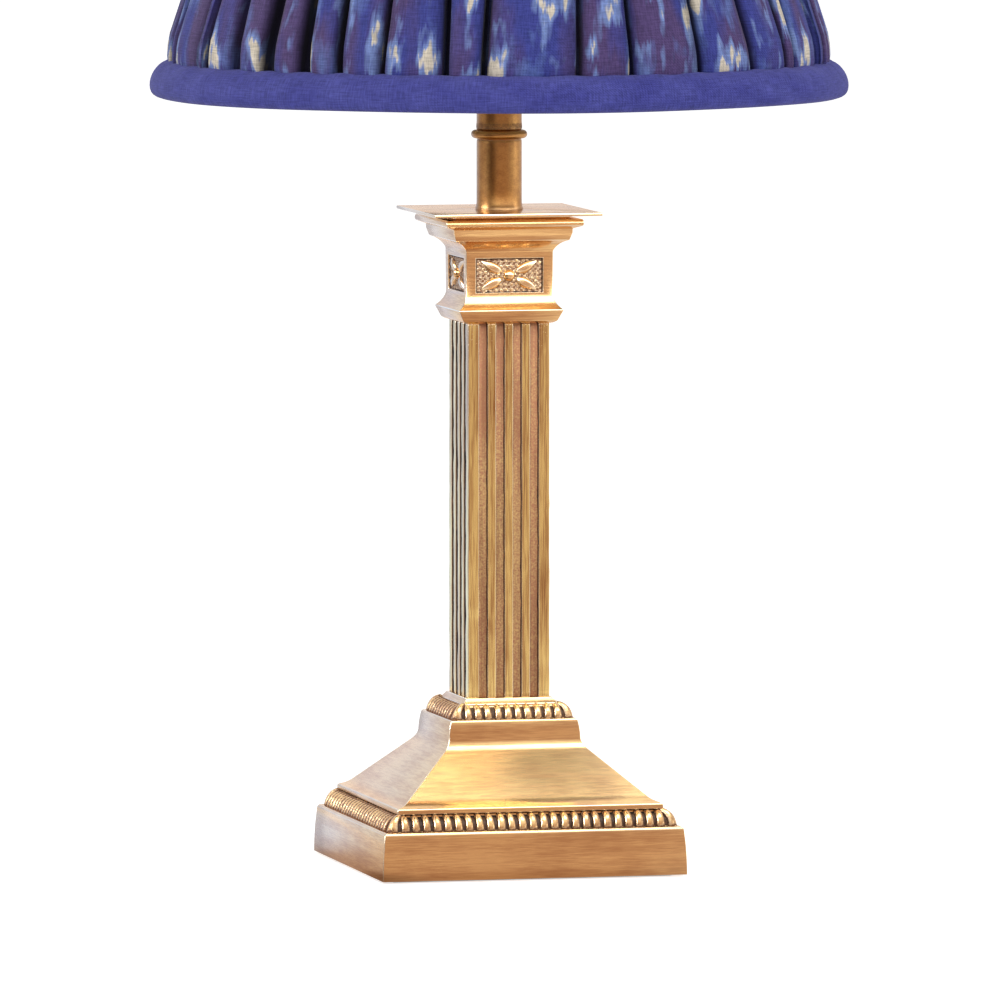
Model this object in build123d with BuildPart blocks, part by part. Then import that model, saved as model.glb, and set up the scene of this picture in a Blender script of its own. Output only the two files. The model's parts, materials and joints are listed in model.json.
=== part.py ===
from build123d import *

import math
import os

# Column table lamp: a square stepped base, a fluted square column and a gathered cloth shade.
# Millimetres, +Z up. The origin is the centre of the felt's underside, and the front looks
# towards -Y. The shade turns and tilts on a gimbal that is clamped on the lampholder.

os.makedirs("parts", exist_ok=True)

# Base casting: half widths of the square plan, and heights above the table
FOOT_HALF = 45.0
FOOT_Z = 0.5
PLINTH_BELLY = (44.8, 7.5)
PLINTH_HALF = 44.2
PLINTH_Z = 13.8
LEDGE_HALF = 43.2
LOWER_FOOT_Z = 14.4
LOWER_AXIS_HALF = 38.7
LOWER_LOBE_R = 4.7
LOWER_GAP_R = 3.7
LOWER_LOBES = 25
LOWER_PITCH = 3.14
RISER_HALF = 39.3
RISER_Z = 20.9
RISER_ROUND = 0.6
ROOF_FOOT_BEND = (36.9, 21.6)
ROOF_FOOT = (35.2, 22.9)
ROOF_HEAD = (21.4, 35.2)
ROOF_HEAD_BEND = (20.2, 36.6)
ROOF_TOP_HALF = 19.6
ROOF_TOP_Z = 38.05
BLOCK_BELLY = (19.35, 40.8)
BLOCK_HALF = 18.9
BLOCK_Z = 43.5
BLOCK_CHAMFER = 0.4
UPPER_FOOT_Z = 44.0
UPPER_AXIS_HALF = 14.3
UPPER_LOBE_R = 4.1
UPPER_GAP_R = 3.2
UPPER_LOBES = 10
UPPER_PITCH = 2.95
NECK_BEND = (13.4, 48.7)
NECK_HALF = 12.8
LOBE_SHARE = 0.88
LOBE_CROWN = 0.52
LOBE_BENDS = 2
LOBE_ROOT = 0.4
CORNER_WIDEN = 1.4
CORNER_RISE = 0.7
CORNER_FILL = 0.9
CORNER_INSET = 0.3
CAVITY_HALF = 41.5
CAVITY_STEP_Z = 12.8
CEILING_Z = 40.0
CAVITY_LEVELS = ((CAVITY_STEP_Z, 37.0), (17.5, 36.0), (36.0, 16.2), (CEILING_Z, 16.0))

# Column, capital and plate
COLUMN_Z = 49.8
COLUMN_W = 24.2
FLUTE_W = 2.5
FLUTE_PITCH = 5.05
FLUTE_DEPTH = 1.5
FLUTES = 4
COLUMN_BORE_R = 8.0
CAPITAL_Z = 158.1
FLARE_LIP = (14.05, 158.9)
FLARE_RIM = (15.55, 162.1)
FLARE_BEND = (13.5, 164.4)
FRIEZE_FOOT = (12.85, 166.0)
FRIEZE_HEAD = (12.95, 179.0)
FRIEZE_HALF = 12.9
CORNICE_FOOT = (13.25, 179.6)
CORNICE_BEND = (14.7, 181.5)
CORNICE_STEPS = ((16.9, 182.3), (17.65, 184.5), (17.7, 185.7), (20.2, 186.6))
CORNICE_BELLY = (20.5, 187.6)
CORNICE_TOP = (20.0, 188.5)
CORNICE_SEAT_HALF = 17.0
CORNICE_SEAT_Z = 188.7
CAPITAL_HOLLOW_H = 26.0
PANEL_W = 19.8
PANEL_H = 9.9
PANEL_Z = 172.1
PANEL_DEPTH = 0.9
LEAF_INNER = (2.3, 0.9)
LEAF_OUTER = (7.7, 3.7)
LEAF_W = 2.2
LEAF_RISE = 0.8
LEAF_ROOT = 0.2
ROSETTE_R = 1.9
ROSETTE_TIP_R = 1.0
ROSETTE_RISE = 1.1
ROSETTE_ROOT = 0.3
PLATE_Z = 189.6
PLATE_W = 49.65
PLATE_T = 1.0

# Stem, rod and fixings
STEM_R = 6.55
STEM_FLARE = 0.35
STEM_FLARE_H = 2.5
KNOP_Z = 211.1
KNOP_T = 2.4
KNOP_R = 8.15
KNOP_CORNER_R = 0.6
KNOP_CORNER_H = 0.7
LAMP_H = 230.0
ROD_R = 5.0
ROD_BORE_R = 3.5
ROD_CLEAR = 0.2
ROD_FOOT_Z = 31.0
ROD_TOP_Z = 238.0
WASHER_T = 1.5
WASHER_R = 11.0
NUT_T = 6.0
NUT_FLAT_R = 7.0
THREAD_GAP = 0.03

# Underside
FELT_T = 1.5
PANEL_FIT_W = 82.6
BOTTOM_PLATE_T = 2.0
BOSS_AT = 34.0
BOSS_R = 4.5
BOSS_TOP_Z = 18.5
SCREW_R = 1.5
SCREW_LEN = 10.0
SCREW_HEAD_R = 2.8
CORD_Z = 8.3
BUSH_HOLE_R = 3.6
BUSH_FLANGE_R = 4.8
BUSH_BORE_R = 2.7
BUSH_SEAT_Y = 44.4
BUSH_OUT = 1.6
BUSH_IN = 2.2
BUSH_BARB = 0.5
SNAP_GAP = 0.05
EARTH_AT = (-22.0, 22.0)
EARTH_Z = 16.0
EARTH_BOSS_R = 4.0
EARTH_BOSS_H = 12.0
EARTH_SCREW_H = 6.0
EARTH_HEAD_H = 2.2
TAG_R = 3.4
TAG_T = 0.8
TAG_TAIL = (9.0, 3.0)
TAG_TAIL_OUT = 6.0

# Lampholder, all on the lamp's axis
HOLDER_CAP_Z = 248.0
CAP_NECK_R = 7.5
CAP_NECK_Z = 236.0
CAP_OUTER = ((12.2, 238.0), (15.0, 242.6))
CAP_INNER = ((13.85, 243.0), (8.5, ROD_TOP_Z))
CAP_R = 15.0
GRUB_Z = LAMP_H + 3.0
GRUB_L = 3.0
BEAD_T = 1.5
SLEEVE_FOOT_Z = 244.0
HOLDER_R = 13.8
HOLDER_WALL = 1.2
SHOULDER_Z = 258.0
SHOULDER_R = 16.0
SHOULDER_T = 1.5
HOLDER_TOP_Z = 276.5
INSULATOR_R = 12.5
INSULATOR_Z = 243.0
TERMINAL_AT_R = 7.0
TERMINAL_R = 2.5
TERMINAL_OUT = 2.0
TERMINAL_IN = 4.5
TERMINAL_HOLE = 5.0
CONTACT_LIFT = 1.6
CONTACT_T = 0.4
CONTACT_HALF_W = 2.0
SOCKET_FLOOR_Z = 262.0
SHELL_R = 7.7
SHELL_WALL = 0.4
SHELL_LOW = 0.5
BAR_Z = 253.0
BAR_R = 2.3
BAR_L = 42.0
BAR_REST_X = -2.0
BAR_CLEAR = 0.3
BAR_CHAMFER = 0.7
GAP = 0.1

# Bulb with a small screw cap
BULB_R = 22.5
BULB_NECK_R = 14.0
GLOBE_STEPS = 12
BULB_CENTRE_Z = 315.5
BULB_CAP_R = 6.95
BULB_CAP_Z = 266.0
BULB_CAP_TOP_Z = 286.0
BULB_CAP_FLARE_R = 8.2
BULB_CAP_FLARE_H = 4.0
BULB_BUTTON_R = 4.0
BULB_BUTTON_Z = SOCKET_FLOOR_Z + 3.0
BULB_CONTACT_R = 2.2
BULB_CONTACT_T = 0.95
BULB_NECK = (9.6, 291.5)

# Gimbal and shade frame
GIMBAL_HOLE_R = 14.5
GIMBAL_R = 21.0
GIMBAL_T = 1.5
GIMBAL_Z = SHOULDER_Z + SHOULDER_T + GAP
RING_Z = GIMBAL_Z + GIMBAL_T + GAP
RING_FLANGE_R = 20.0
RING_FLANGE_H = 1.4
RING_BODY_R = 17.5
RING_BODY_Z = RING_Z + 2.0
RING_H = 7.0
PIVOT_Z = 300.0
WIRE_R = 1.5
RING_FLAT = WIRE_R * math.cos(math.pi / 6)
EYE_X = 59.4
EYE_W = 4.2
EYE_R = 4.2
ARM_BENDS = ((46.0, GIMBAL_Z + GIMBAL_T / 2), (54.0, 267.0), (EYE_X, 283.0), (EYE_X, PIVOT_Z - 2.5))
PIN_CLEAR = 0.06
PIN_END_PLAY = 0.3
PIN_HEAD_R = 3.2
PIN_HEAD_TIP_R = 2.4
PIN_HEAD_T = 1.2
PIN_COLLAR_R = 2.6
PIN_COLLAR_END_X = 64.5
BOTTOM_RING_R = 91.6
BOTTOM_RING_Z = 228.0
TOP_RING_R = 44.2
TOP_RING_Z = 368.0
STRUTS = 6
STRUT_END_GAP = 0.4

# Shade cloth
COVER_Z = 233.2
COVER_TOP_Z = 363.5
COVER_LEVELS = ((COVER_Z, 96.5), (240.0, 95.0), (250.0, 91.4), (COVER_TOP_Z, 53.4))
FOLDS = 44
FOLD_DEPTH = 0.045
FOLD_STEPS = (0.0, 0.12, 0.35, 0.65, 0.88)
FOLD_POINTS = len(FOLD_STEPS)
SHADE_Z = 223.5
SHADE_TOP_Z = 372.5
LAYER_GAP = 0.2
CLOTH_GAP = WIRE_R * 1.06 + LAYER_GAP
LINING_T = 0.8
LINING_SLIT = 6.8
BOTTOM_ROLL_IN = ((91.8, COVER_Z), (96.4, COVER_Z))
BOTTOM_ROLL_OUT = ((100.0, 230.4), (101.0, 226.6), (100.2, SHADE_Z))
BOTTOM_ROLL_INNER_R = 89.3
BOTTOM_ROLL_HEM_R = 93.3
BOTTOM_ROLL_HEM_Z = 229.4
TOP_ROLL_IN = ((47.7, COVER_TOP_Z), (53.0, COVER_TOP_Z))
TOP_ROLL_OUT = ((53.6, 366.6), (52.6, 370.2), (50.0, SHADE_TOP_Z))
TOP_ROLL_INNER_R = 41.0
TOP_ROLL_HEM_R = 46.2
TOP_ROLL_TUCK = (46.9, 366.4)

FRAME_SLOPE = (BOTTOM_RING_R - TOP_RING_R) / (TOP_RING_Z - BOTTOM_RING_Z)


def frame_radius(height):
    """Radius of a strut's centre line at a height."""
    return BOTTOM_RING_R - FRAME_SLOPE * (height - BOTTOM_RING_Z)


def mitred_square(outline):
    """A square-plan solid whose four sides share one outline and meet in mitred corners."""
    with BuildPart() as body:
        with BuildSketch(Plane.XZ):
            with BuildLine():
                outline()
                mirror(about=Plane.YZ)
            make_face()
        extrude(amount=2 * FOOT_HALF, both=True)
        with BuildSketch(Plane.YZ):
            with BuildLine():
                outline()
                mirror(about=Plane.YZ)
            make_face()
        extrude(amount=2 * FOOT_HALF, both=True, mode=Mode.INTERSECT)
    return body.part


def bend_plane(centre, angle):
    """Plane through the axis of a front lobe's bend, turned up from level by an angle."""
    turn = math.radians(angle)
    return Plane(origin=centre, x_dir=(1, 0, 0), z_dir=(0, -math.sin(turn), -math.cos(turn)))


def lobe_row(count, pitch, width, axis_half, foot_z, crest_r, gap_r):
    """A row of flat-crowned lobes along the front, bent through a quarter turn."""
    buried_r = gap_r - LOBE_ROOT
    points = []
    for index in range(count):
        middle = (index - (count - 1) / 2) * pitch
        points.append((middle - width / 2, buried_r))
        points.append((middle - LOBE_CROWN * width / 2, crest_r))
        points.append((middle + LOBE_CROWN * width / 2, crest_r))
        points.append((middle + width / 2, buried_r))
    end = points[-1][0]
    stations = []
    for step in range(LOBE_BENDS + 1):
        with BuildSketch(bend_plane((0, -axis_half, foot_z), 90 * step / LOBE_BENDS)) as section:
            with BuildLine():
                Polyline([*points, (end, buried_r - LOBE_ROOT), (-end, buried_r - LOBE_ROOT)], close=True)
            make_face()
        stations.append(section.sketch)
    with BuildPart() as row:
        loft(stations, ruled=True)
    return row.part


def gadroon(count, pitch, axis_half, foot_z, crest_r, gap_r):
    """A square band of lobes with one wider lobe on each corner."""
    width = LOBE_SHARE * pitch
    side_row = lobe_row(count, pitch, width, axis_half, foot_z, crest_r, gap_r)
    diagonal = math.sqrt(2) * (axis_half - CORNER_INSET)
    corner_lobe = lobe_row(
        1, pitch, CORNER_WIDEN * width, diagonal, foot_z, crest_r + CORNER_RISE, gap_r + CORNER_FILL
    )
    with BuildPart() as band:
        with PolarLocations(0, 4):
            add(side_row)
        with PolarLocations(0, 4, start_angle=45):
            add(corner_lobe)
    return band.part


# --- Base casting: plinth, lower gadroon, riser, roof, block and upper gadroon in one piece ---
def quarter_bend(axis_half, foot_z, radius):
    """The floor between the lobes, in the same flat steps as the lobes themselves."""
    turns = [math.radians(90 * step / LOBE_BENDS) for step in range(LOBE_BENDS + 1)]
    Polyline([(axis_half + radius * math.cos(t), foot_z + radius * math.sin(t)) for t in turns])


def base_outline():
    Line((0, FOOT_Z), (FOOT_HALF, FOOT_Z))
    ThreePointArc((FOOT_HALF, FOOT_Z), PLINTH_BELLY, (PLINTH_HALF, PLINTH_Z))
    lower_gap_half = LOWER_AXIS_HALF + LOWER_GAP_R
    Polyline(
        (PLINTH_HALF, PLINTH_Z),
        (LEDGE_HALF, LOWER_FOOT_Z),
        (lower_gap_half, LOWER_FOOT_Z),
    )
    quarter_bend(LOWER_AXIS_HALF, LOWER_FOOT_Z, LOWER_GAP_R)
    riser_foot_z = LOWER_FOOT_Z + LOWER_LOBE_R
    Polyline(
        (LOWER_AXIS_HALF, LOWER_FOOT_Z + LOWER_GAP_R),
        (LOWER_AXIS_HALF, riser_foot_z),
        (RISER_HALF, riser_foot_z),
        (RISER_HALF, RISER_Z - RISER_ROUND),
    )
    riser_end = (RISER_HALF - RISER_ROUND, RISER_Z)
    corner_cut = RISER_ROUND * (1 - math.sqrt(0.5))
    ThreePointArc(
        (RISER_HALF, RISER_Z - RISER_ROUND),
        (RISER_HALF - corner_cut, RISER_Z - corner_cut),
        riser_end,
    )
    ThreePointArc(riser_end, ROOF_FOOT_BEND, ROOF_FOOT)
    Line(ROOF_FOOT, ROOF_HEAD)
    ThreePointArc(ROOF_HEAD, ROOF_HEAD_BEND, (ROOF_TOP_HALF, ROOF_TOP_Z))
    ThreePointArc((ROOF_TOP_HALF, ROOF_TOP_Z), BLOCK_BELLY, (BLOCK_HALF, BLOCK_Z))
    Polyline(
        (BLOCK_HALF, BLOCK_Z),
        (BLOCK_HALF - BLOCK_CHAMFER, UPPER_FOOT_Z),
        (UPPER_AXIS_HALF + UPPER_GAP_R, UPPER_FOOT_Z),
    )
    quarter_bend(UPPER_AXIS_HALF, UPPER_FOOT_Z, UPPER_GAP_R)
    Line(
        (UPPER_AXIS_HALF, UPPER_FOOT_Z + UPPER_GAP_R),
        (UPPER_AXIS_HALF, UPPER_FOOT_Z + UPPER_LOBE_R),
    )
    ThreePointArc(
        (UPPER_AXIS_HALF, UPPER_FOOT_Z + UPPER_LOBE_R), NECK_BEND, (NECK_HALF, COLUMN_Z)
    )
    Line((NECK_HALF, COLUMN_Z), (0, COLUMN_Z))


lower_band = gadroon(
    LOWER_LOBES, LOWER_PITCH, LOWER_AXIS_HALF, LOWER_FOOT_Z, LOWER_LOBE_R, LOWER_GAP_R
)
upper_band = gadroon(
    UPPER_LOBES, UPPER_PITCH, UPPER_AXIS_HALF, UPPER_FOOT_Z, UPPER_LOBE_R, UPPER_GAP_R
)
base_body = mitred_square(base_outline)

with BuildPart() as base_casting:
    add(base_body)
    add(lower_band)
    add(upper_band)
    # Hollow underside that follows the steps at a steady wall
    with BuildSketch(Plane.XY.offset(FOOT_Z)):
        Rectangle(2 * CAVITY_HALF, 2 * CAVITY_HALF)
    extrude(amount=CAVITY_STEP_Z - FOOT_Z, mode=Mode.SUBTRACT)
    for height, half in CAVITY_LEVELS:
        with BuildSketch(Plane.XY.offset(height)):
            Rectangle(2 * half, 2 * half)
    loft(ruled=True, mode=Mode.SUBTRACT)
    # Bosses for the bottom plate's screws and for the earth tag
    plate_top_z = FELT_T + BOTTOM_PLATE_T
    with BuildSketch(Plane.XY.offset(plate_top_z)):
        with GridLocations(2 * BOSS_AT, 2 * BOSS_AT, 2, 2):
            Circle(BOSS_R)
    extrude(amount=BOSS_TOP_Z - plate_top_z)
    with BuildSketch(Plane.XY.offset(EARTH_Z)):
        with Locations(EARTH_AT):
            Circle(EARTH_BOSS_R)
    extrude(amount=EARTH_BOSS_H)
    with BuildSketch(Plane.XY.offset(plate_top_z)):
        with GridLocations(2 * BOSS_AT, 2 * BOSS_AT, 2, 2):
            Circle(SCREW_R + THREAD_GAP)
    extrude(amount=SCREW_LEN, mode=Mode.SUBTRACT)
    with BuildSketch(Plane.XY.offset(EARTH_Z)):
        with Locations(EARTH_AT):
            Circle(SCREW_R + THREAD_GAP)
    extrude(amount=EARTH_SCREW_H, mode=Mode.SUBTRACT)
    # Clearance hole for the rod
    with BuildSketch(Plane.XY.offset(CEILING_Z)):
        Circle(ROD_R + ROD_CLEAR)
    extrude(amount=COLUMN_Z - CEILING_Z, mode=Mode.SUBTRACT)
    # Cord hole in the back wall, with a flat seat for the bush
    with BuildSketch(Plane.XZ.offset(-FOOT_HALF - 1)):
        with Locations((0, CORD_Z)):
            Circle(BUSH_FLANGE_R + LAYER_GAP)
    extrude(amount=FOOT_HALF + 1 - BUSH_SEAT_Y, mode=Mode.SUBTRACT)
    with BuildSketch(Plane.XZ.offset(-FOOT_HALF)):
        with Locations((0, CORD_Z)):
            Circle(BUSH_HOLE_R)
    extrude(amount=5.0, mode=Mode.SUBTRACT)

base_casting.part.label = "base_casting"
export_step(base_casting.part, "parts/base_casting.step")

# --- Bottom plate, its screws and the felt ---
with BuildPart() as base_plate:
    with BuildSketch(Plane.XY.offset(FELT_T)):
        Rectangle(PANEL_FIT_W, PANEL_FIT_W)
        with GridLocations(2 * BOSS_AT, 2 * BOSS_AT, 2, 2):
            Circle(SCREW_HEAD_R + THREAD_GAP, mode=Mode.SUBTRACT)
    extrude(amount=BOTTOM_PLATE_T)

base_plate.part.label = "base_plate"
export_step(base_plate.part, "parts/base_plate.step")

with BuildPart() as base_screws:
    with BuildSketch(Plane.XY.offset(FELT_T)):
        with GridLocations(2 * BOSS_AT, 2 * BOSS_AT, 2, 2):
            Circle(SCREW_HEAD_R)
    extrude(amount=BOTTOM_PLATE_T)
    with BuildSketch(Plane.XY.offset(FELT_T + BOTTOM_PLATE_T)):
        with GridLocations(2 * BOSS_AT, 2 * BOSS_AT, 2, 2):
            Circle(SCREW_R)
    extrude(amount=SCREW_LEN - BOTTOM_PLATE_T)

base_screws.part.label = "base_screws"
export_step(base_screws.part, "parts/base_screws.step")

with BuildPart() as felt_pad:
    with BuildSketch():
        Rectangle(PANEL_FIT_W, PANEL_FIT_W)
    extrude(amount=FELT_T)

felt_pad.part.label = "felt_pad"
export_step(felt_pad.part, "parts/felt_pad.step")

# --- Cord bush: two flanges that snap over the back wall ---
with BuildPart() as cord_bush:
    with BuildSketch(Plane.YZ):
        with BuildLine():
            Polyline(
                (BUSH_SEAT_Y + BUSH_OUT, CORD_Z + BUSH_BORE_R),
                (BUSH_SEAT_Y + BUSH_OUT, CORD_Z + BUSH_FLANGE_R - BUSH_OUT / 2),
                (BUSH_SEAT_Y + BUSH_OUT / 2, CORD_Z + BUSH_FLANGE_R),
                (BUSH_SEAT_Y, CORD_Z + BUSH_FLANGE_R),
                (BUSH_SEAT_Y, CORD_Z + BUSH_HOLE_R - SNAP_GAP),
                (CAVITY_HALF - SNAP_GAP, CORD_Z + BUSH_HOLE_R - SNAP_GAP),
                (CAVITY_HALF - SNAP_GAP, CORD_Z + BUSH_HOLE_R + BUSH_BARB),
                (CAVITY_HALF - BUSH_IN, CORD_Z + BUSH_HOLE_R - BUSH_BARB),
                (CAVITY_HALF - BUSH_IN, CORD_Z + BUSH_BORE_R),
                close=True,
            )
        make_face()
    revolve(axis=Axis((0, 0, CORD_Z), (0, 1, 0)))

cord_bush.part.label = "cord_bush"
export_step(cord_bush.part, "parts/cord_bush.step")

# --- Earth tag and its screw, on the boss inside the base ---
with BuildPart() as earth_tag:
    with BuildSketch(Plane.XY.offset(EARTH_Z - TAG_T)):
        with Locations(EARTH_AT):
            Circle(TAG_R)
        with Locations((EARTH_AT[0] + TAG_TAIL_OUT, EARTH_AT[1])):
            Rectangle(*TAG_TAIL)
        with Locations(EARTH_AT):
            Circle(SCREW_R + GAP, mode=Mode.SUBTRACT)
    extrude(amount=TAG_T)

earth_tag.part.label = "earth_tag"
export_step(earth_tag.part, "parts/earth_tag.step")

with BuildPart() as earth_screw:
    with BuildSketch(Plane.XY.offset(EARTH_Z - TAG_T)):
        with Locations(EARTH_AT):
            Circle(SCREW_HEAD_R)
    extrude(amount=-EARTH_HEAD_H)
    with BuildSketch(Plane.XY.offset(EARTH_Z - TAG_T)):
        with Locations(EARTH_AT):
            Circle(SCREW_R)
    extrude(amount=EARTH_SCREW_H)

earth_screw.part.label = "earth_screw"
export_step(earth_screw.part, "parts/earth_screw.step")

# --- Hollow rod that clamps the whole stack, with its washer and nut ---
with BuildPart() as threaded_rod:
    with BuildSketch(Plane.XY.offset(ROD_FOOT_Z)):
        Circle(ROD_R)
        Circle(ROD_BORE_R, mode=Mode.SUBTRACT)
    extrude(amount=ROD_TOP_Z - ROD_FOOT_Z)

threaded_rod.part.label = "threaded_rod"
export_step(threaded_rod.part, "parts/threaded_rod.step")

with BuildPart() as rod_washer:
    with BuildSketch(Plane.XY.offset(CEILING_Z - WASHER_T)):
        Circle(WASHER_R)
        Circle(ROD_R + ROD_CLEAR, mode=Mode.SUBTRACT)
    extrude(amount=WASHER_T)

rod_washer.part.label = "rod_washer"
export_step(rod_washer.part, "parts/rod_washer.step")

with BuildPart() as rod_nut:
    with BuildSketch(Plane.XY.offset(CEILING_Z - WASHER_T - NUT_T)):
        RegularPolygon(NUT_FLAT_R, 6, major_radius=False)
        Circle(ROD_R + THREAD_GAP, mode=Mode.SUBTRACT)
    extrude(amount=NUT_T)

rod_nut.part.label = "rod_nut"
export_step(rod_nut.part, "parts/rod_nut.step")

# --- Fluted square column ---
with BuildPart() as column_shaft:
    with BuildSketch(Plane.XY.offset(COLUMN_Z)):
        Rectangle(COLUMN_W, COLUMN_W)
        with PolarLocations((COLUMN_W - FLUTE_DEPTH) / 2, 4):
            with GridLocations(FLUTE_DEPTH, FLUTE_PITCH, 1, FLUTES):
                Rectangle(FLUTE_DEPTH, FLUTE_W, mode=Mode.SUBTRACT)
        Circle(COLUMN_BORE_R, mode=Mode.SUBTRACT)
    extrude(amount=CAPITAL_Z - COLUMN_Z)

column_shaft.part.label = "column_shaft"
export_step(column_shaft.part, "parts/column_shaft.step")


# --- Capital: flare, frieze with a sunk leaf rosette on each side, and cornice ---
def capital_outline():
    Polyline((0, CAPITAL_Z), (COLUMN_W / 2, CAPITAL_Z), FLARE_LIP, FLARE_RIM)
    ThreePointArc(FLARE_RIM, FLARE_BEND, FRIEZE_FOOT)
    Polyline(FRIEZE_FOOT, FRIEZE_HEAD, CORNICE_FOOT)
    ThreePointArc(CORNICE_FOOT, CORNICE_BEND, CORNICE_STEPS[0])
    Polyline(*CORNICE_STEPS)
    ThreePointArc(CORNICE_STEPS[-1], CORNICE_BELLY, CORNICE_TOP)
    Polyline(
        CORNICE_TOP,
        (CORNICE_SEAT_HALF, CORNICE_SEAT_Z),
        (CORNICE_SEAT_HALF, PLATE_Z),
        (0, PLATE_Z),
    )


def leaf(inner, outer, width, height):
    """A pointed leaf with a ridge along its middle, lying on the panel's floor."""
    inner_at = Vector(*inner)
    outer_at = Vector(*outer)
    along = outer_at - inner_at
    stations = []
    for share, size in ((0.3, 1.0), (0.65, 0.75)):
        plane = Plane(origin=inner_at + along * share, x_dir=(0, -1, 0), z_dir=along)
        with BuildSketch(plane) as section:
            Polygon(
                (-LEAF_ROOT, -size * width / 2),
                (size * height, 0),
                (-LEAF_ROOT, size * width / 2),
                align=None,
            )
        stations.append(section.sketch)
    with BuildPart() as blade:
        loft([Vertex(*inner), *stations, Vertex(*outer)], ruled=True)
    return blade.part


panel_floor = FRIEZE_HALF - PANEL_DEPTH
leaves = []
for side_x in (-1, 1):
    for side_z in (-1, 1):
        leaves.append(
            leaf(
                (LEAF_INNER[0] * side_x, -panel_floor, PANEL_Z + LEAF_INNER[1] * side_z),
                (LEAF_OUTER[0] * side_x, -panel_floor, PANEL_Z + LEAF_OUTER[1] * side_z),
                LEAF_W,
                LEAF_RISE,
            )
        )
capital_body = mitred_square(capital_outline)

with BuildPart() as capital:
    add(capital_body)
    with PolarLocations(FRIEZE_HALF, 4):
        with Locations((0, 0, PANEL_Z)):
            Box(2 * PANEL_DEPTH, PANEL_W, PANEL_H, mode=Mode.SUBTRACT)
    with PolarLocations(0, 4):
        for blade in leaves:
            add(blade)
    # Domed boss in the middle of each rosette
    with PolarLocations(panel_floor - ROSETTE_ROOT, 4):
        with Locations(Location((0, 0, PANEL_Z), (0, 90, 0))):
            Cone(
                ROSETTE_R,
                ROSETTE_TIP_R,
                ROSETTE_RISE,
                align=(Align.CENTER, Align.CENTER, Align.MIN),
            )
    # The casting is hollow below, with a clearance hole for the rod above
    with BuildSketch(Plane.XY.offset(CAPITAL_Z)):
        Circle(COLUMN_BORE_R)
    extrude(amount=CAPITAL_HOLLOW_H, mode=Mode.SUBTRACT)
    with BuildSketch(Plane.XY.offset(CAPITAL_Z)):
        Circle(ROD_R + ROD_CLEAR)
    extrude(amount=PLATE_Z - CAPITAL_Z, mode=Mode.SUBTRACT)

capital.part.label = "capital"
export_step(capital.part, "parts/capital.step")

# --- Thin square plate on the capital ---
with BuildPart() as abacus_plate:
    with BuildSketch(Plane.XY.offset(PLATE_Z)):
        Rectangle(PLATE_W, PLATE_W)
        Circle(ROD_R + ROD_CLEAR, mode=Mode.SUBTRACT)
    extrude(amount=PLATE_T)

abacus_plate.part.label = "abacus_plate"
export_step(abacus_plate.part, "parts/abacus_plate.step")

# --- Stem: a tube, a rounded ring and a second tube, all slipped over the rod ---
with BuildPart() as stem_tube:
    with BuildSketch(Plane.XZ):
        with BuildLine():
            stem_foot_z = PLATE_Z + PLATE_T
            bore = ROD_R + ROD_CLEAR
            Polyline(
                (bore, KNOP_Z),
                (bore, stem_foot_z),
                (STEM_R + STEM_FLARE, stem_foot_z),
                (STEM_R, stem_foot_z + STEM_FLARE_H),
                (STEM_R, KNOP_Z),
                close=True,
            )
        make_face()
    revolve(axis=Axis.Z)

stem_tube.part.label = "stem_tube"
export_step(stem_tube.part, "parts/stem_tube.step")

with BuildPart() as knop_ring:
    with BuildSketch(Plane.XZ):
        with BuildLine():
            Polyline(
                (ROD_R + ROD_CLEAR, KNOP_Z),
                (KNOP_R - KNOP_CORNER_R, KNOP_Z),
                (KNOP_R, KNOP_Z + KNOP_CORNER_H),
                (KNOP_R, KNOP_Z + KNOP_T - KNOP_CORNER_H),
                (KNOP_R - KNOP_CORNER_R, KNOP_Z + KNOP_T),
                (ROD_R + ROD_CLEAR, KNOP_Z + KNOP_T),
                close=True,
            )
        make_face()
    revolve(axis=Axis.Z)

knop_ring.part.label = "knop_ring"
export_step(knop_ring.part, "parts/knop_ring.step")

with BuildPart() as upper_tube:
    with BuildSketch(Plane.XY.offset(KNOP_Z + KNOP_T)):
        Circle(STEM_R)
        Circle(ROD_R + ROD_CLEAR, mode=Mode.SUBTRACT)
    extrude(amount=LAMP_H - KNOP_Z - KNOP_T)

upper_tube.part.label = "upper_tube"
export_step(upper_tube.part, "parts/upper_tube.step")

# --- Lampholder cap and the grub screw that locks it on the rod ---
with BuildPart() as holder_cap:
    with BuildSketch(Plane.XZ):
        with BuildLine():
            Polyline(
                (ROD_R + THREAD_GAP, LAMP_H),
                (CAP_NECK_R, LAMP_H),
                (CAP_NECK_R, CAP_NECK_Z),
                *CAP_OUTER,
                (CAP_R, HOLDER_CAP_Z),
                (CAP_INNER[0][0], HOLDER_CAP_Z),
                *CAP_INNER,
                (ROD_R + THREAD_GAP, ROD_TOP_Z),
                close=True,
            )
        make_face()
    revolve(axis=Axis.Z)
    with BuildSketch(Plane.XZ.offset(ROD_R)):
        with Locations((0, GRUB_Z)):
            Circle(SCREW_R + THREAD_GAP)
    extrude(amount=GRUB_L + 1, mode=Mode.SUBTRACT)

holder_cap.part.label = "holder_cap"
export_step(holder_cap.part, "parts/holder_cap.step")

with BuildPart() as holder_grub_screw:
    with BuildSketch(Plane.XZ.offset(ROD_R)):
        with Locations((0, GRUB_Z)):
            Circle(SCREW_R)
    extrude(amount=GRUB_L)

holder_grub_screw.part.label = "holder_grub_screw"
export_step(holder_grub_screw.part, "parts/holder_grub_screw.step")

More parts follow.
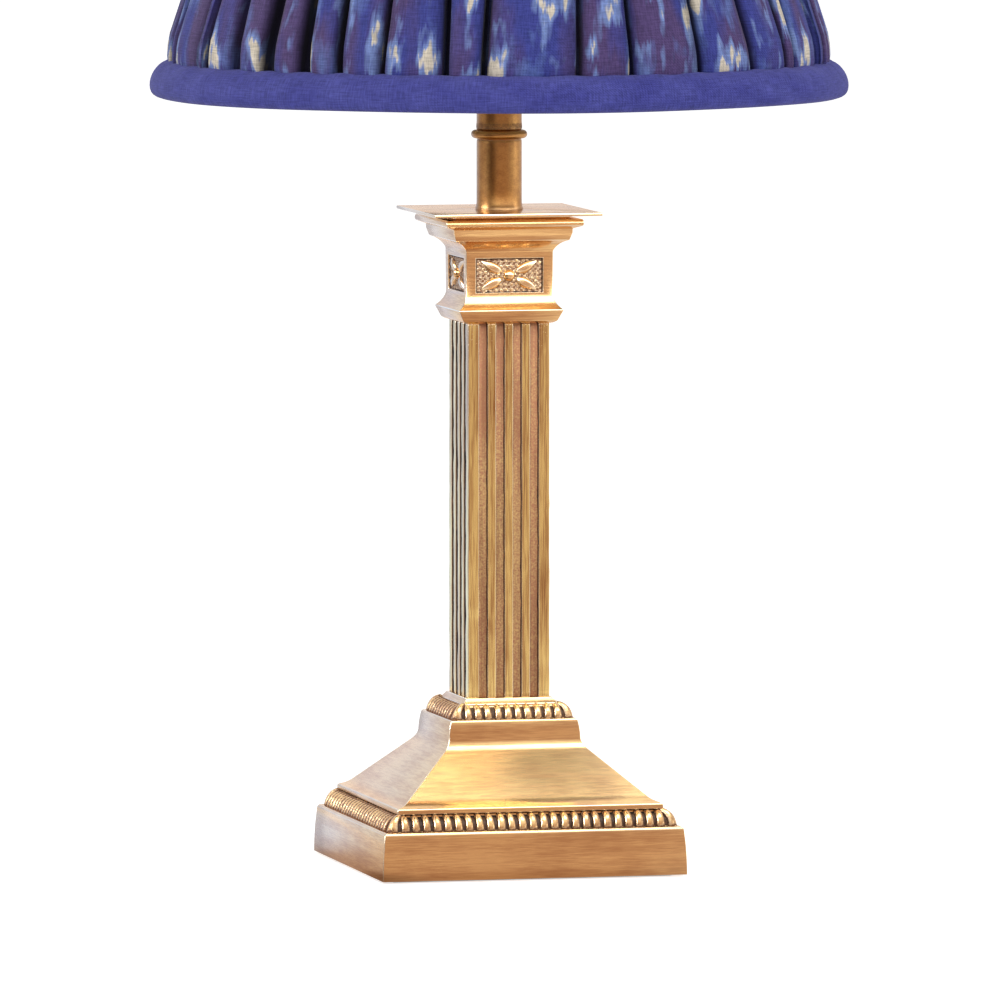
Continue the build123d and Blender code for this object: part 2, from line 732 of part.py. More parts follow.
# --- Outer sleeve: skirt, bead, shoulder for the gimbal, and threaded barrel ---
with BuildPart() as holder_sleeve:
    with BuildSketch(Plane.XZ):
        with BuildLine():
            inner = HOLDER_R - HOLDER_WALL
            Polyline(
                (inner, SLEEVE_FOOT_Z),
                (HOLDER_R, SLEEVE_FOOT_Z),
                (HOLDER_R, HOLDER_CAP_Z),
                (CAP_R, HOLDER_CAP_Z),
                (CAP_R, HOLDER_CAP_Z + BEAD_T),
                (HOLDER_R, HOLDER_CAP_Z + BEAD_T),
                (HOLDER_R, SHOULDER_Z),
                (SHOULDER_R, SHOULDER_Z),
                (SHOULDER_R, SHOULDER_Z + SHOULDER_T),
                (HOLDER_R, SHOULDER_Z + SHOULDER_T),
                (HOLDER_R, HOLDER_TOP_Z),
                (inner, HOLDER_TOP_Z),
                close=True,
            )
        make_face()
    revolve(axis=Axis.Z)
    with BuildSketch(Plane.YZ):
        with Locations((0, BAR_Z)):
            Circle(BAR_R + BAR_CLEAR)
    extrude(amount=HOLDER_R + 1, both=True, mode=Mode.SUBTRACT)

holder_sleeve.part.label = "holder_sleeve"
export_step(holder_sleeve.part, "parts/holder_sleeve.step")

# --- Insulator with the socket, the bar's tunnel and the terminals ---
with BuildPart() as holder_insulator:
    with BuildSketch(Plane.XY.offset(INSULATOR_Z)):
        Circle(INSULATOR_R)
    extrude(amount=HOLDER_TOP_Z - INSULATOR_Z)
    with BuildSketch(Plane.XY.offset(SOCKET_FLOOR_Z)):
        Circle(SHELL_R)
    extrude(amount=HOLDER_TOP_Z - SOCKET_FLOOR_Z, mode=Mode.SUBTRACT)
    with BuildSketch(Plane.YZ):
        with Locations((0, BAR_Z)):
            Circle(BAR_R + BAR_CLEAR)
    extrude(amount=HOLDER_R, both=True, mode=Mode.SUBTRACT)
    with BuildSketch(Plane.XY.offset(INSULATOR_Z)):
        with PolarLocations(TERMINAL_AT_R, 2, start_angle=90):
            Circle(SCREW_R)
    extrude(amount=TERMINAL_HOLE, mode=Mode.SUBTRACT)

holder_insulator.part.label = "holder_insulator"
export_step(holder_insulator.part, "parts/holder_insulator.step")

with BuildPart() as terminal_screws:
    with BuildSketch(Plane.XY.offset(INSULATOR_Z)):
        with PolarLocations(TERMINAL_AT_R, 2, start_angle=90):
            Circle(TERMINAL_R)
    extrude(amount=-TERMINAL_OUT)
    with BuildSketch(Plane.XY.offset(INSULATOR_Z)):
        with PolarLocations(TERMINAL_AT_R, 2, start_angle=90):
            Circle(SCREW_R - THREAD_GAP)
    extrude(amount=TERMINAL_IN)

terminal_screws.part.label = "terminal_screws"
export_step(terminal_screws.part, "parts/terminal_screws.step")

# --- Socket's metal parts: the centre contact strip and the screw shell ---
with BuildPart() as centre_contact:
    with BuildSketch(Plane.XZ):
        with BuildLine():
            Polyline(
                (-5.5, SOCKET_FLOOR_Z),
                (-2.0, SOCKET_FLOOR_Z),
                (0.5, SOCKET_FLOOR_Z + CONTACT_LIFT),
                (3.0, SOCKET_FLOOR_Z + CONTACT_LIFT),
                (3.0, SOCKET_FLOOR_Z + CONTACT_LIFT + CONTACT_T),
                (0.3, SOCKET_FLOOR_Z + CONTACT_LIFT + CONTACT_T),
                (-2.1, SOCKET_FLOOR_Z + CONTACT_T),
                (-5.5, SOCKET_FLOOR_Z + CONTACT_T),
                close=True,
            )
        make_face()
    extrude(amount=CONTACT_HALF_W, both=True)

centre_contact.part.label = "centre_contact"
export_step(centre_contact.part, "parts/centre_contact.step")

with BuildPart() as screw_shell:
    with BuildSketch(Plane.XY.offset(SOCKET_FLOOR_Z)):
        Circle(SHELL_R)
        Circle(SHELL_R - SHELL_WALL, mode=Mode.SUBTRACT)
    extrude(amount=HOLDER_TOP_Z - SOCKET_FLOOR_Z - SHELL_LOW)

screw_shell.part.label = "screw_shell"
export_step(screw_shell.part, "parts/screw_shell.step")

# --- Push-bar of the switch, with rounded ends ---
with BuildPart() as switch_bar:
    with BuildSketch(Plane.YZ.offset(BAR_REST_X - BAR_L / 2)):
        with Locations((0, BAR_Z)):
            Circle(BAR_R)
    extrude(amount=BAR_L)
    chamfer(switch_bar.edges().filter_by(GeomType.CIRCLE), BAR_CHAMFER)

switch_bar.part.label = "switch_bar"
export_step(switch_bar.part, "parts/switch_bar.step")

# --- Shade ring that clamps the gimbal on the shoulder ---
with BuildPart() as shade_ring:
    with BuildSketch(Plane.XZ):
        with BuildLine():
            Polyline(
                (HOLDER_R + GAP, RING_Z),
                (RING_FLANGE_R, RING_Z),
                (RING_FLANGE_R, RING_Z + RING_FLANGE_H),
                (RING_BODY_R, RING_BODY_Z),
                (RING_BODY_R, RING_Z + RING_H),
                (HOLDER_R + GAP, RING_Z + RING_H),
                close=True,
            )
        make_face()
    revolve(axis=Axis.Z)

shade_ring.part.label = "shade_ring"
export_step(shade_ring.part, "parts/shade_ring.step")

# --- Bulb: contact, screw cap and opal globe ---
with BuildPart() as bulb_contact:
    with BuildSketch(Plane.XY.offset(BULB_BUTTON_Z - BULB_CONTACT_T)):
        Circle(BULB_CONTACT_R)
    extrude(amount=BULB_CONTACT_T)

bulb_contact.part.label = "bulb_contact"
export_step(bulb_contact.part, "parts/bulb_contact.step")

with BuildPart() as bulb_cap:
    with BuildSketch(Plane.XZ):
        with BuildLine():
            Polyline(
                (0, BULB_BUTTON_Z),
                (BULB_BUTTON_R, BULB_BUTTON_Z),
                (BULB_CAP_R, BULB_CAP_Z),
                (BULB_CAP_R, BULB_CAP_TOP_Z - BULB_CAP_FLARE_H),
                (BULB_CAP_FLARE_R, BULB_CAP_TOP_Z),
                (0, BULB_CAP_TOP_Z),
                close=True,
            )
        make_face()
    revolve(axis=Axis.Z)

bulb_cap.part.label = "bulb_cap"
export_step(bulb_cap.part, "parts/bulb_cap.step")

with BuildPart() as bulb_globe:
    with BuildSketch(Plane.XZ):
        with BuildLine():
            neck = -math.acos(BULB_NECK_R / BULB_R)
            turns = [neck + (math.pi / 2 - neck) * step / GLOBE_STEPS for step in range(GLOBE_STEPS)]
            sphere = [
                (BULB_R * math.cos(turn), BULB_CENTRE_Z + BULB_R * math.sin(turn)) for turn in turns
            ]
            Polyline(
                (0, BULB_CAP_TOP_Z),
                (BULB_CAP_FLARE_R, BULB_CAP_TOP_Z),
                BULB_NECK,
                *sphere,
                (0, BULB_CENTRE_Z + BULB_R),
                close=True,
            )
        make_face()
    revolve(axis=Axis.Z)

bulb_globe.part.label = "bulb_globe"
export_step(bulb_globe.part, "parts/bulb_globe.step")

# --- Gimbal: flat ring and two bent wire arms that end in eyes ---
with BuildPart() as gimbal_ring:
    with BuildSketch(Plane.XY.offset(GIMBAL_Z)):
        Circle(GIMBAL_R)
        Circle(GIMBAL_HOLE_R, mode=Mode.SUBTRACT)
    extrude(amount=GIMBAL_T)

gimbal_ring.part.label = "gimbal_ring"
export_step(gimbal_ring.part, "parts/gimbal_ring.step")

arm_z = GIMBAL_Z + GIMBAL_T / 2
with BuildPart() as gimbal_arm:
    with BuildLine(Plane.XZ):
        Polyline((GIMBAL_R, arm_z), *ARM_BENDS)
    with BuildSketch(Plane.YZ.offset(GIMBAL_R)):
        with Locations((0, arm_z)):
            RegularPolygon(WIRE_R, 8)
    sweep(transition=Transition.RIGHT)
    with BuildSketch(Plane.YZ.offset(EYE_X - EYE_W / 2)):
        with Locations((0, PIVOT_Z)):
            Circle(EYE_R)
    extrude(amount=EYE_W)
    with BuildSketch(Plane.YZ.offset(EYE_X - EYE_W / 2)):
        with Locations((0, PIVOT_Z)):
            Circle(WIRE_R + PIN_CLEAR)
    extrude(amount=EYE_W, mode=Mode.SUBTRACT)

with BuildPart() as gimbal_arms:
    with PolarLocations(0, 2):
        add(gimbal_arm.part)

gimbal_arms.part.label = "gimbal_arms"
export_step(gimbal_arms.part, "parts/gimbal_arms.step")

# --- Pivot pins, welded to two struts: shank, head inside the eye, and collar outside it ---
with BuildPart() as pivot_pins:
    head_x = EYE_X - EYE_W / 2 - PIN_END_PLAY
    collar_x = EYE_X + EYE_W / 2 + PIN_END_PLAY
    with BuildSketch(Plane.XZ):
        with BuildLine():
            Polyline(
                (head_x - PIN_HEAD_T, PIVOT_Z),
                (head_x - PIN_HEAD_T, PIVOT_Z + PIN_HEAD_TIP_R),
                (head_x, PIVOT_Z + PIN_HEAD_R),
                (head_x, PIVOT_Z + WIRE_R),
                (collar_x, PIVOT_Z + WIRE_R),
                (collar_x, PIVOT_Z + PIN_COLLAR_R),
                (PIN_COLLAR_END_X, PIVOT_Z + WIRE_R),
                (frame_radius(PIVOT_Z), PIVOT_Z + WIRE_R),
                (frame_radius(PIVOT_Z), PIVOT_Z),
                close=True,
            )
        make_face()
    revolve(axis=Axis((0, 0, PIVOT_Z), (1, 0, 0)))
    mirror(about=Plane.YZ)

pivot_pins.part.label = "pivot_pins"
export_step(pivot_pins.part, "parts/pivot_pins.step")

# --- Shade frame: two wire rings and six struts ---
with BuildPart() as shade_bottom_ring:
    with BuildSketch(Plane.XZ):
        with Locations((BOTTOM_RING_R, BOTTOM_RING_Z)):
            RegularPolygon(WIRE_R, 6)
    revolve(axis=Axis.Z)

shade_bottom_ring.part.label = "shade_bottom_ring"
export_step(shade_bottom_ring.part, "parts/shade_bottom_ring.step")

with BuildPart() as shade_top_ring:
    with BuildSketch(Plane.XZ):
        with Locations((TOP_RING_R, TOP_RING_Z)):
            RegularPolygon(WIRE_R, 6)
    revolve(axis=Axis.Z)

shade_top_ring.part.label = "shade_top_ring"
export_step(shade_top_ring.part, "parts/shade_top_ring.step")

strut_plane = Plane(
    origin=(BOTTOM_RING_R, 0, BOTTOM_RING_Z),
    z_dir=(TOP_RING_R - BOTTOM_RING_R, 0, TOP_RING_Z - BOTTOM_RING_Z),
)
strut_length = math.hypot(BOTTOM_RING_R - TOP_RING_R, TOP_RING_Z - BOTTOM_RING_Z)
with BuildPart() as strut:
    with BuildSketch(strut_plane.offset(STRUT_END_GAP)):
        Circle(WIRE_R)
    extrude(amount=strut_length - 2 * STRUT_END_GAP)

with BuildPart() as shade_struts:
    with PolarLocations(0, STRUTS):
        add(strut.part)

shade_struts.part.label = "shade_struts"
export_step(shade_struts.part, "parts/shade_struts.step")


# --- Shade cover: cloth gathered into uneven folds, over a straight inner face ---
def fold_angle(place):
    """Direction in degrees at a place counted in folds; the folds are unevenly wide."""
    turn = 2 * math.pi * place / FOLDS
    uneven = 0.12 * math.sin(7 * turn) + 0.1 * math.sin(16 * turn + 1) + 0.05 * math.sin(29 * turn)
    return (place + uneven) * 360.0 / FOLDS


def fold_share(index, step):
    """Depth of a point of the gathered outline, as a share of the radius: deep only at a crease."""
    if step == 0:
        return FOLD_DEPTH * (0.85 + 0.15 * math.sin(2.3 * index))
    shoulder = 0.22 if step in (1, FOLD_POINTS - 1) else 0.0
    return FOLD_DEPTH * (shoulder + 0.1 * (1 + math.sin(1.9 * index + 0.4)))


def gathered_outline(crest_r):
    """One level of the cover: rounded folds with a sharp crease between neighbours."""
    points = []
    for index in range(FOLDS):
        for step in range(FOLD_POINTS):
            turn = math.radians(fold_angle(index + FOLD_STEPS[step]))
            radius = crest_r * (1 - fold_share(index, step))
            points.append((radius * math.cos(turn), radius * math.sin(turn)))
    Polyline(points, close=True)


with BuildPart() as shade_cover:
    for height, crest_r in COVER_LEVELS:
        with BuildSketch(Plane.XY.offset(height)):
            with BuildLine():
                gathered_outline(crest_r)
            make_face()
    loft(ruled=True)
    with Locations((0, 0, COVER_Z)):
        Cone(
            frame_radius(COVER_Z) + CLOTH_GAP,
            frame_radius(COVER_TOP_Z) + CLOTH_GAP,
            COVER_TOP_Z - COVER_Z,
            align=(Align.CENTER, Align.CENTER, Align.MIN),
            mode=Mode.SUBTRACT,
        )

shade_cover.part.label = "shade_cover"
export_step(shade_cover.part, "parts/shade_cover.step")

# --- Lining: a plain cone inside the struts, slit where the pivot pins pass ---
with BuildPart() as shade_lining:
    with BuildSketch(Plane.XZ):
        with BuildLine():
            low_z = BOTTOM_RING_Z - RING_FLAT
            high_z = TOP_RING_Z + RING_FLAT
            low_r = frame_radius(low_z) - CLOTH_GAP
            high_r = frame_radius(high_z) - CLOTH_GAP
            Polyline(
                (low_r, low_z),
                (high_r, high_z),
                (high_r - LINING_T, high_z),
                (low_r - LINING_T, low_z),
                close=True,
            )
        make_face()
    revolve(axis=Axis.Z)
    with BuildSketch(Plane.YZ):
        with Locations((0, PIVOT_Z)):
            Rectangle(LINING_SLIT, LINING_SLIT)
    extrude(amount=BOTTOM_RING_R, both=True, mode=Mode.SUBTRACT)

shade_lining.part.label = "shade_lining"
export_step(shade_lining.part, "parts/shade_lining.step")

# --- Bindings: plain padded bands rolled over the two rings ---
with BuildPart() as bottom_binding:
    with BuildSketch(Plane.XZ):
        with BuildLine():
            under_ring_z = BOTTOM_RING_Z - RING_FLAT
            Polyline(
                *BOTTOM_ROLL_IN,
                *BOTTOM_ROLL_OUT,
                (BOTTOM_ROLL_INNER_R, SHADE_Z),
                (BOTTOM_ROLL_INNER_R, under_ring_z),
                (BOTTOM_ROLL_HEM_R, under_ring_z),
                (BOTTOM_ROLL_HEM_R, BOTTOM_ROLL_HEM_Z),
                close=True,
            )
        make_face()
    revolve(axis=Axis.Z)

bottom_binding.part.label = "bottom_binding"
export_step(bottom_binding.part, "parts/bottom_binding.step")

with BuildPart() as top_binding:
    with BuildSketch(Plane.XZ):
        with BuildLine():
            over_ring_z = TOP_RING_Z + RING_FLAT
            Polyline(
                *TOP_ROLL_IN,
                *TOP_ROLL_OUT,
                (TOP_ROLL_INNER_R, SHADE_TOP_Z),
                (TOP_ROLL_INNER_R, over_ring_z),
                (TOP_ROLL_HEM_R, over_ring_z),
                TOP_ROLL_TUCK,
                close=True,
            )
        make_face()
    revolve(axis=Axis.Z)

top_binding.part.label = "top_binding"
export_step(top_binding.part, "parts/top_binding.step")
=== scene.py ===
import json
import math
import random

import bpy
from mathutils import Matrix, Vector
from mathutils.bvhtree import BVHTree


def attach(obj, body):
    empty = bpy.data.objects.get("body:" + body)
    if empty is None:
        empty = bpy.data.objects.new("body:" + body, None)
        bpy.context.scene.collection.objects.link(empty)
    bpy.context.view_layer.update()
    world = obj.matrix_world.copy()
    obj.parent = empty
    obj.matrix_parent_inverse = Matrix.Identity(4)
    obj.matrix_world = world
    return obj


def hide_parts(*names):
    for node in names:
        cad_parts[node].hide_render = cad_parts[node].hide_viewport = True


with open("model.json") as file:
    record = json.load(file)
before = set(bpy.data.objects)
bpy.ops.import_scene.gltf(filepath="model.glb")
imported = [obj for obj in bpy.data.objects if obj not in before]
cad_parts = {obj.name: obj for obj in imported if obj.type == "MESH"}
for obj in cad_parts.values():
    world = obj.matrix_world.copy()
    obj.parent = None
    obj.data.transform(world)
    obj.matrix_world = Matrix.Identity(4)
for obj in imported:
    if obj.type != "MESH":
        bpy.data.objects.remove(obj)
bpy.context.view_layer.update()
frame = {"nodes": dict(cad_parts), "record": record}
cad = frame["nodes"]
mm = 0.001


# --- Camera ---
# The photograph's view: a long lens a little above the lamp, which is turned to show its left side.
camera_data = bpy.data.cameras.new("camera")
camera_data.sensor_width = 36.0
camera_data.lens = 499.3
camera_data.shift_x = 0.0008
camera_data.clip_end = 50.0
camera = bpy.data.objects.new("camera", camera_data)
bpy.context.scene.collection.objects.link(camera)
camera.location = (-0.9338, -3.8956, 0.4254)
camera.rotation_euler = (math.radians(85.443), 0.0, math.radians(-13.48))
bpy.context.scene.camera = camera


# --- Base casting ---
# A hollow square brass casting: plinth, gadroon band, riser, sloping roof, block and a second band.
# It is sand cast, chased by hand, dipped to an antique brown and rubbed bright on what stands proud.
# Painted shade darkens the gaps between the lobes and each lobe's right side; rubbed edges get a pale
# painted highlight.
FOOT_Z = 0.5
CAVITY_HALF = 41.5
LOWER_BAND = {"count": 25, "pitch": 3.14, "axis_half": 38.7, "foot_z": 14.4, "radius": 3.85}
UPPER_BAND = {"count": 10, "pitch": 2.95, "axis_half": 14.3, "foot_z": 44.0, "radius": 3.35}
LOBE_HEIGHT = 0.9
LOBE_SHARE = 0.78
LOBE_TAPER = 0.16
LIP = {"drop": 0.35, "share": 0.62, "out": 0.1}
CORNER_LOBE = {"inset": 0.3, "widen": 1.25, "rise": 0.45, "taper": 0.45}
EDGE = 0.22
ROD_HOLE_R = 5.2
CORD_HOLE = {"radius": 3.6, "z": 8.3}
HOLLOW_RAYS = 20
RUB_FROM = 0.9
RUB_SPAN = 1.4


def deselect():
    bpy.ops.object.select_all(action="DESELECT")


def place(piece):
    """Puts a new primitive's place and size into its mesh."""
    bpy.ops.object.transform_apply(location=True, rotation=True, scale=True)
    return piece


def curve_between(start, end, bulge, steps):
    """Points of a shallow moulding curve from start to end, bulging sideways by a length in mm."""
    across = (end[1] - start[1], start[0] - end[0])
    length = math.hypot(*across)
    points = []
    for step in range(1, steps + 1):
        share = step / steps
        push = bulge * 4 * share * (1 - share) / length
        points.append(
            (
                start[0] + (end[0] - start[0]) * share + across[0] * push,
                start[1] + (end[1] - start[1]) * share + across[1] * push,
            )
        )
    return points


def rounded(centre, radius, start, end, steps):
    """Points of a round moulding about a centre, between two angles in degrees."""
    return [
        (
            centre[0] + radius * math.cos(math.radians(start + (end - start) * step / steps)),
            centre[1] + radius * math.sin(math.radians(start + (end - start) * step / steps)),
        )
        for step in range(steps + 1)
    ]


def square_moulding(name, levels):
    """A solid of square plan: one face drawn out through (half width, height) levels in mm."""
    deselect()
    half, height = levels[0]
    bpy.ops.mesh.primitive_plane_add(size=2 * half * mm, location=(0, 0, height * mm))
    piece = bpy.context.object
    piece.name = name
    place(piece)
    bpy.ops.object.mode_set(mode="EDIT")
    bpy.ops.mesh.select_all(action="SELECT")
    for next_half, next_height in levels[1:]:
        bpy.ops.mesh.extrude_region_move(
            TRANSFORM_OT_translate={"value": (0, 0, (next_height - height) * mm)}
        )
        share = next_half / half
        bpy.ops.transform.resize(value=(share, share, 1), center_override=(0, 0, next_height * mm))
        half, height = next_half, next_height
    bpy.ops.mesh.select_all(action="SELECT")
    bpy.ops.mesh.normals_make_consistent(inside=False)
    bpy.ops.object.mode_set(mode="OBJECT")
    return piece


def apply_all(piece):
    """Applies a piece's modifiers in their order."""
    deselect()
    bpy.context.view_layer.objects.active = piece
    piece.select_set(True)
    for modifier in list(piece.modifiers):
        bpy.ops.object.modifier_apply(modifier=modifier.name)


def round_edges(piece, width, segments=3, angle=24):
    """A small round on every sharp edge, as filing and polishing leave."""
    bevel = piece.modifiers.new("round", "BEVEL")
    bevel.width = width * mm
    bevel.segments = segments
    bevel.limit_method = "ANGLE"
    bevel.angle_limit = math.radians(angle)
    bevel.use_clamp_overlap = True
    apply_all(piece)
    bpy.ops.object.shade_smooth_by_angle(angle=math.radians(35))


def bore(piece, radius, low, high, axis="Z", at=(0.0, 0.0)):
    """Drills a round hole from low to high, in mm, along Z or Y."""
    deselect()
    middle = (low + high) / 2
    where = (at[0], at[1], middle) if axis == "Z" else (at[0], middle, at[1])
    turn = (0, 0, 0) if axis == "Z" else (math.pi / 2, 0, 0)
    bpy.ops.mesh.primitive_cylinder_add(
        vertices=48,
        radius=radius * mm,
        depth=(high - low) * mm,
        location=[value * mm for value in where],
        rotation=turn,
    )
    drill = place(bpy.context.object)
    cut = piece.modifiers.new("bore", "BOOLEAN")
    cut.object = drill
    cut.solver = "EXACT"
    apply_all(piece)
    bpy.data.objects.remove(drill)


def join(pieces, name):
    """One object from several."""
    deselect()
    for piece in pieces:
        piece.select_set(True)
    bpy.context.view_layer.objects.active = pieces[0]
    bpy.ops.object.join()
    pieces[0].name = name
    return pieces[0]


def copy_turned(piece, turn, shift=(0.0, 0.0, 0.0)):
    """A copy with its own mesh, shifted in mm and then turned about the lamp's axis."""
    copy = piece.copy()
    copy.data = piece.data.copy()
    bpy.context.scene.collection.objects.link(copy)
    deselect()
    copy.select_set(True)
    bpy.context.view_layer.objects.active = copy
    copy.location = [value * mm for value in shift]
    bpy.ops.object.transform_apply(location=True, rotation=False, scale=False)
    copy.rotation_euler = (0, 0, turn)
    bpy.ops.object.transform_apply(location=False, rotation=True, scale=False)
    return copy


def chased_lobe(width, height, axis_half, foot_z, radius):
    """One gadroon lobe on the front: a rounded rib spun through a quarter turn, with a rounded lip."""
    deselect()
    bpy.ops.mesh.primitive_circle_add(
        vertices=14,
        radius=1.0,
        fill_type="NGON",
        location=(0, -(axis_half + radius) * mm, foot_z * mm),
    )
    rib = bpy.context.object
    rib.scale = (width / 2 * mm, height * mm, mm)
    place(rib)
    centre = (0, -axis_half * mm, foot_z * mm)
    bpy.ops.object.mode_set(mode="EDIT")
    bpy.ops.mesh.select_all(action="SELECT")
    bpy.ops.mesh.extrude_region_move(TRANSFORM_OT_translate={"value": (0, 0, -LIP["drop"] * mm)})
    bpy.ops.transform.resize(
        value=(LIP["share"], LIP["share"], 1),
        center_override=(0, -(axis_half + radius + LIP["out"]) * mm, (foot_z - LIP["drop"]) * mm),
    )
    bpy.ops.mesh.select_all(action="DESELECT")
    bpy.ops.mesh.select_mode(type="FACE")
    bpy.ops.object.mode_set(mode="OBJECT")
    for face in rib.data.polygons:
        face.select = face.center.z > (foot_z - 0.01) * mm and abs(face.normal.z) > 0.9
    bpy.ops.object.mode_set(mode="EDIT")
    bpy.ops.mesh.spin(steps=8, angle=math.radians(88), center=centre, axis=(1, 0, 0))
    bpy.ops.mesh.select_all(action="SELECT")
    bpy.ops.mesh.remove_doubles(threshold=0.01 * mm)
    bpy.ops.mesh.normals_make_consistent(inside=False)
    bpy.ops.object.mode_set(mode="OBJECT")
    return rib


def gadroon_band(name, count, pitch, axis_half, foot_z, radius):
    """Lobes along the four sides, no two quite alike, with a broader one on each corner."""
    rng = random.Random(count)
    side = chased_lobe(LOBE_SHARE * pitch, LOBE_HEIGHT, axis_half, foot_z, radius)
    diagonal = math.sqrt(2) * (axis_half - CORNER_LOBE["inset"])
    corner = chased_lobe(
        CORNER_LOBE["widen"] * pitch, LOBE_HEIGHT, diagonal, foot_z, radius + CORNER_LOBE["rise"]
    )
    for vertex in corner.data.vertices:
        above = max(0.0, vertex.co.z - foot_z * mm)
        vertex.co.x *= 1 - CORNER_LOBE["taper"] * above / (radius * mm)
    lobes = []
    for quarter in range(4):
        for index in range(count):
            shift = (index - (count - 1) / 2) * pitch
            lobe = copy_turned(side, 0, (shift, 0, 0))
            lean = rng.uniform(-0.05, 0.05)
            plump = rng.uniform(0.92, 1.06)
            for vertex in lobe.data.vertices:
                above = vertex.co.z - foot_z * mm
                slim = plump * (1 - LOBE_TAPER * max(0.0, above) / (radius * mm))
                vertex.co.x = shift * mm + (vertex.co.x - shift * mm) * slim + lean * above
                vertex.co.y += rng.uniform(-0.02, 0.02) * mm
            lobes.append(copy_turned(lobe, quarter * math.pi / 2))
            bpy.data.objects.remove(lobe)
        lobes.append(copy_turned(corner, (quarter + 0.5) * math.pi / 2))
    bpy.data.objects.remove(side)
    bpy.data.objects.remove(corner)
    band = join(lobes, name)
    bpy.ops.object.shade_smooth()
    return band


def worn_edges(piece):
    """Writes how tightly each face is rounded outwards, from 0 on flats to 1 on rubbed edges."""
    mesh = piece.data
    beside = {}
    for face in mesh.polygons:
        for key in face.edge_keys:
            beside.setdefault(key, []).append(face)
    tight = [0.0] * len(mesh.polygons)
    for pair in beside.values():
        if len(pair) != 2:
            continue
        gap = pair[1].center - pair[0].center
        if gap.length > 0:
            bend = (pair[1].normal - pair[0].normal) @ gap / gap.length_squared * mm
            for face in pair:
                tight[face.index] = max(tight[face.index], bend)
    attribute = mesh.attributes.new("worn", "FLOAT", "FACE")
    rubbed = [min(1.0, max(0.0, (bend - RUB_FROM) / RUB_SPAN)) for bend in tight]
    attribute.data.foreach_set("value", rubbed)


def hollows(piece, reach=2.6, floors=(), right_shaded=(0, 0)):
    """Writes how shut in each vertex is, from 0 in the open to 1 deep in a recess.

    Each of the floors is (first vertex, last vertex, low, high, value), and sets that value between
    two levels in mm. The lobes' vertices, the last range given, get painted shade on their right side.
    """
    worn_edges(piece)
    mesh = piece.data
    tree = BVHTree.FromPolygons(
        [vertex.co for vertex in mesh.vertices], [face.vertices for face in mesh.polygons]
    )
    rng = random.Random(7)
    ways = []
    while len(ways) < HOLLOW_RAYS:
        way = Vector([rng.uniform(-1, 1) for _ in range(3)])
        if 0.1 < way.length < 1:
            ways.append(way.normalized())
    values = []
    for vertex in mesh.vertices:
        normal = vertex.normal
        start = vertex.co + normal * 0.03 * mm
        shut = 0.0
        for way in ways:
            ray = (way + normal * 1.05).normalized()
            hit = tree.ray_cast(start, ray, reach * mm)
            if hit[0] is not None:
                shut += 1 - hit[3] / (reach * mm)
        values.append(min(1.0, 1.6 * shut / HOLLOW_RAYS))
    # Painted shade: each lobe is darkened on its right side.
    for index in range(*right_shaded):
        spot, normal = mesh.vertices[index].co, mesh.vertices[index].normal
        if abs(spot.x) > abs(spot.y):
            right = Vector((0, math.copysign(1, spot.x), 0))
        else:
            right = Vector((-math.copysign(1, spot.y), 0, 0))
        values[index] = min(0.6, 0.8 * values[index] + 0.1 + 0.26 * max(0.0, 0.3 + right @ normal))
    for first, last, low, high, value in floors:
        for index in range(first, last):
            if low * mm < mesh.vertices[index].co.z < high * mm:
                values[index] = value
    attribute = mesh.attributes.new("hollow", "FLOAT", "POINT")
    attribute.data.foreach_set("value", values)


def node_group(name, inputs, outputs):
    """An empty shader group with named sockets, and its input and output nodes."""
    group = bpy.data.node_groups.new(name, "ShaderNodeTree")
    for label, kind, value in inputs:
        socket = group.interface.new_socket(name=label, in_out="INPUT", socket_type=kind)
        if value is not None:
            socket.default_value = value
    for label, kind in outputs:
        group.interface.new_socket(name=label, in_out="OUTPUT", socket_type=kind)
    return group, group.nodes.new("NodeGroupInput"), group.nodes.new("NodeGroupOutput")


def add_node(tree, kind, links=None, **settings):
    """A node with its settings, and links or values for its inputs."""
    node = tree.nodes.new(kind)
    for key, value in settings.items():
        setattr(node, key, value)
    for key, value in (links or {}).items():
        if isinstance(value, bpy.types.NodeSocket):
            tree.links.new(value, node.inputs[key])
        else:
            node.inputs[key].default_value = value
    return node


def ramp(tree, source, stops):
    """A colour ramp through (place, grey or colour) stops."""
    node = add_node(tree, "ShaderNodeValToRGB", {"Fac": source})
    elements = node.color_ramp.elements
    while len(elements) < len(stops):
        elements.new(0.5)
    for element, (at, tone) in zip(elements, stops):
        element.position = at
        element.color = (*tone, 1) if hasattr(tone, "__len__") else (tone, tone, tone, 1)
    return node.outputs["Color"]


def scaled_noise(tree, vector, scale, stretch, detail):
    """Noise over a position that is stretched by a factor for each axis."""
    mapped = add_node(tree, "ShaderNodeMapping", {"Vector": vector, "Scale": stretch})
    noise = add_node(
        tree,
        "ShaderNodeTexNoise",
        {"Vector": mapped.outputs["Vector"], "Scale": scale, "Detail": detail},
    )
    return noise.outputs["Fac"]


def mix_colour(tree, share, first, second, blend="MIX"):
    """The first colour passing into the second by a share."""
    node = tree.nodes.new("ShaderNodeMix")
    node.data_type = "RGBA"
    node.blend_type = blend
    for socket, value in ((node.inputs[0], share), (node.inputs[6], first), (node.inputs[7], second)):
        if isinstance(value, bpy.types.NodeSocket):
            tree.links.new(value, socket)
        else:
            socket.default_value = value
    return node.outputs[2]


def maths(tree, operation, *values, clamp=False):
    """One sum over sockets or numbers."""
    node = tree.nodes.new("ShaderNodeMath")
    node.operation = operation
    node.use_clamp = clamp
    for socket, value in zip(node.inputs, values):
        if isinstance(value, bpy.types.NodeSocket):
            tree.links.new(value, socket)
        else:
            socket.default_value = value
    return node.outputs[0]


def swing(tree, noise, amount):
    """Noise moved to swing about zero, by an amount."""
    return maths(tree, "MULTIPLY", maths(tree, "SUBTRACT", noise, 0.5), amount)


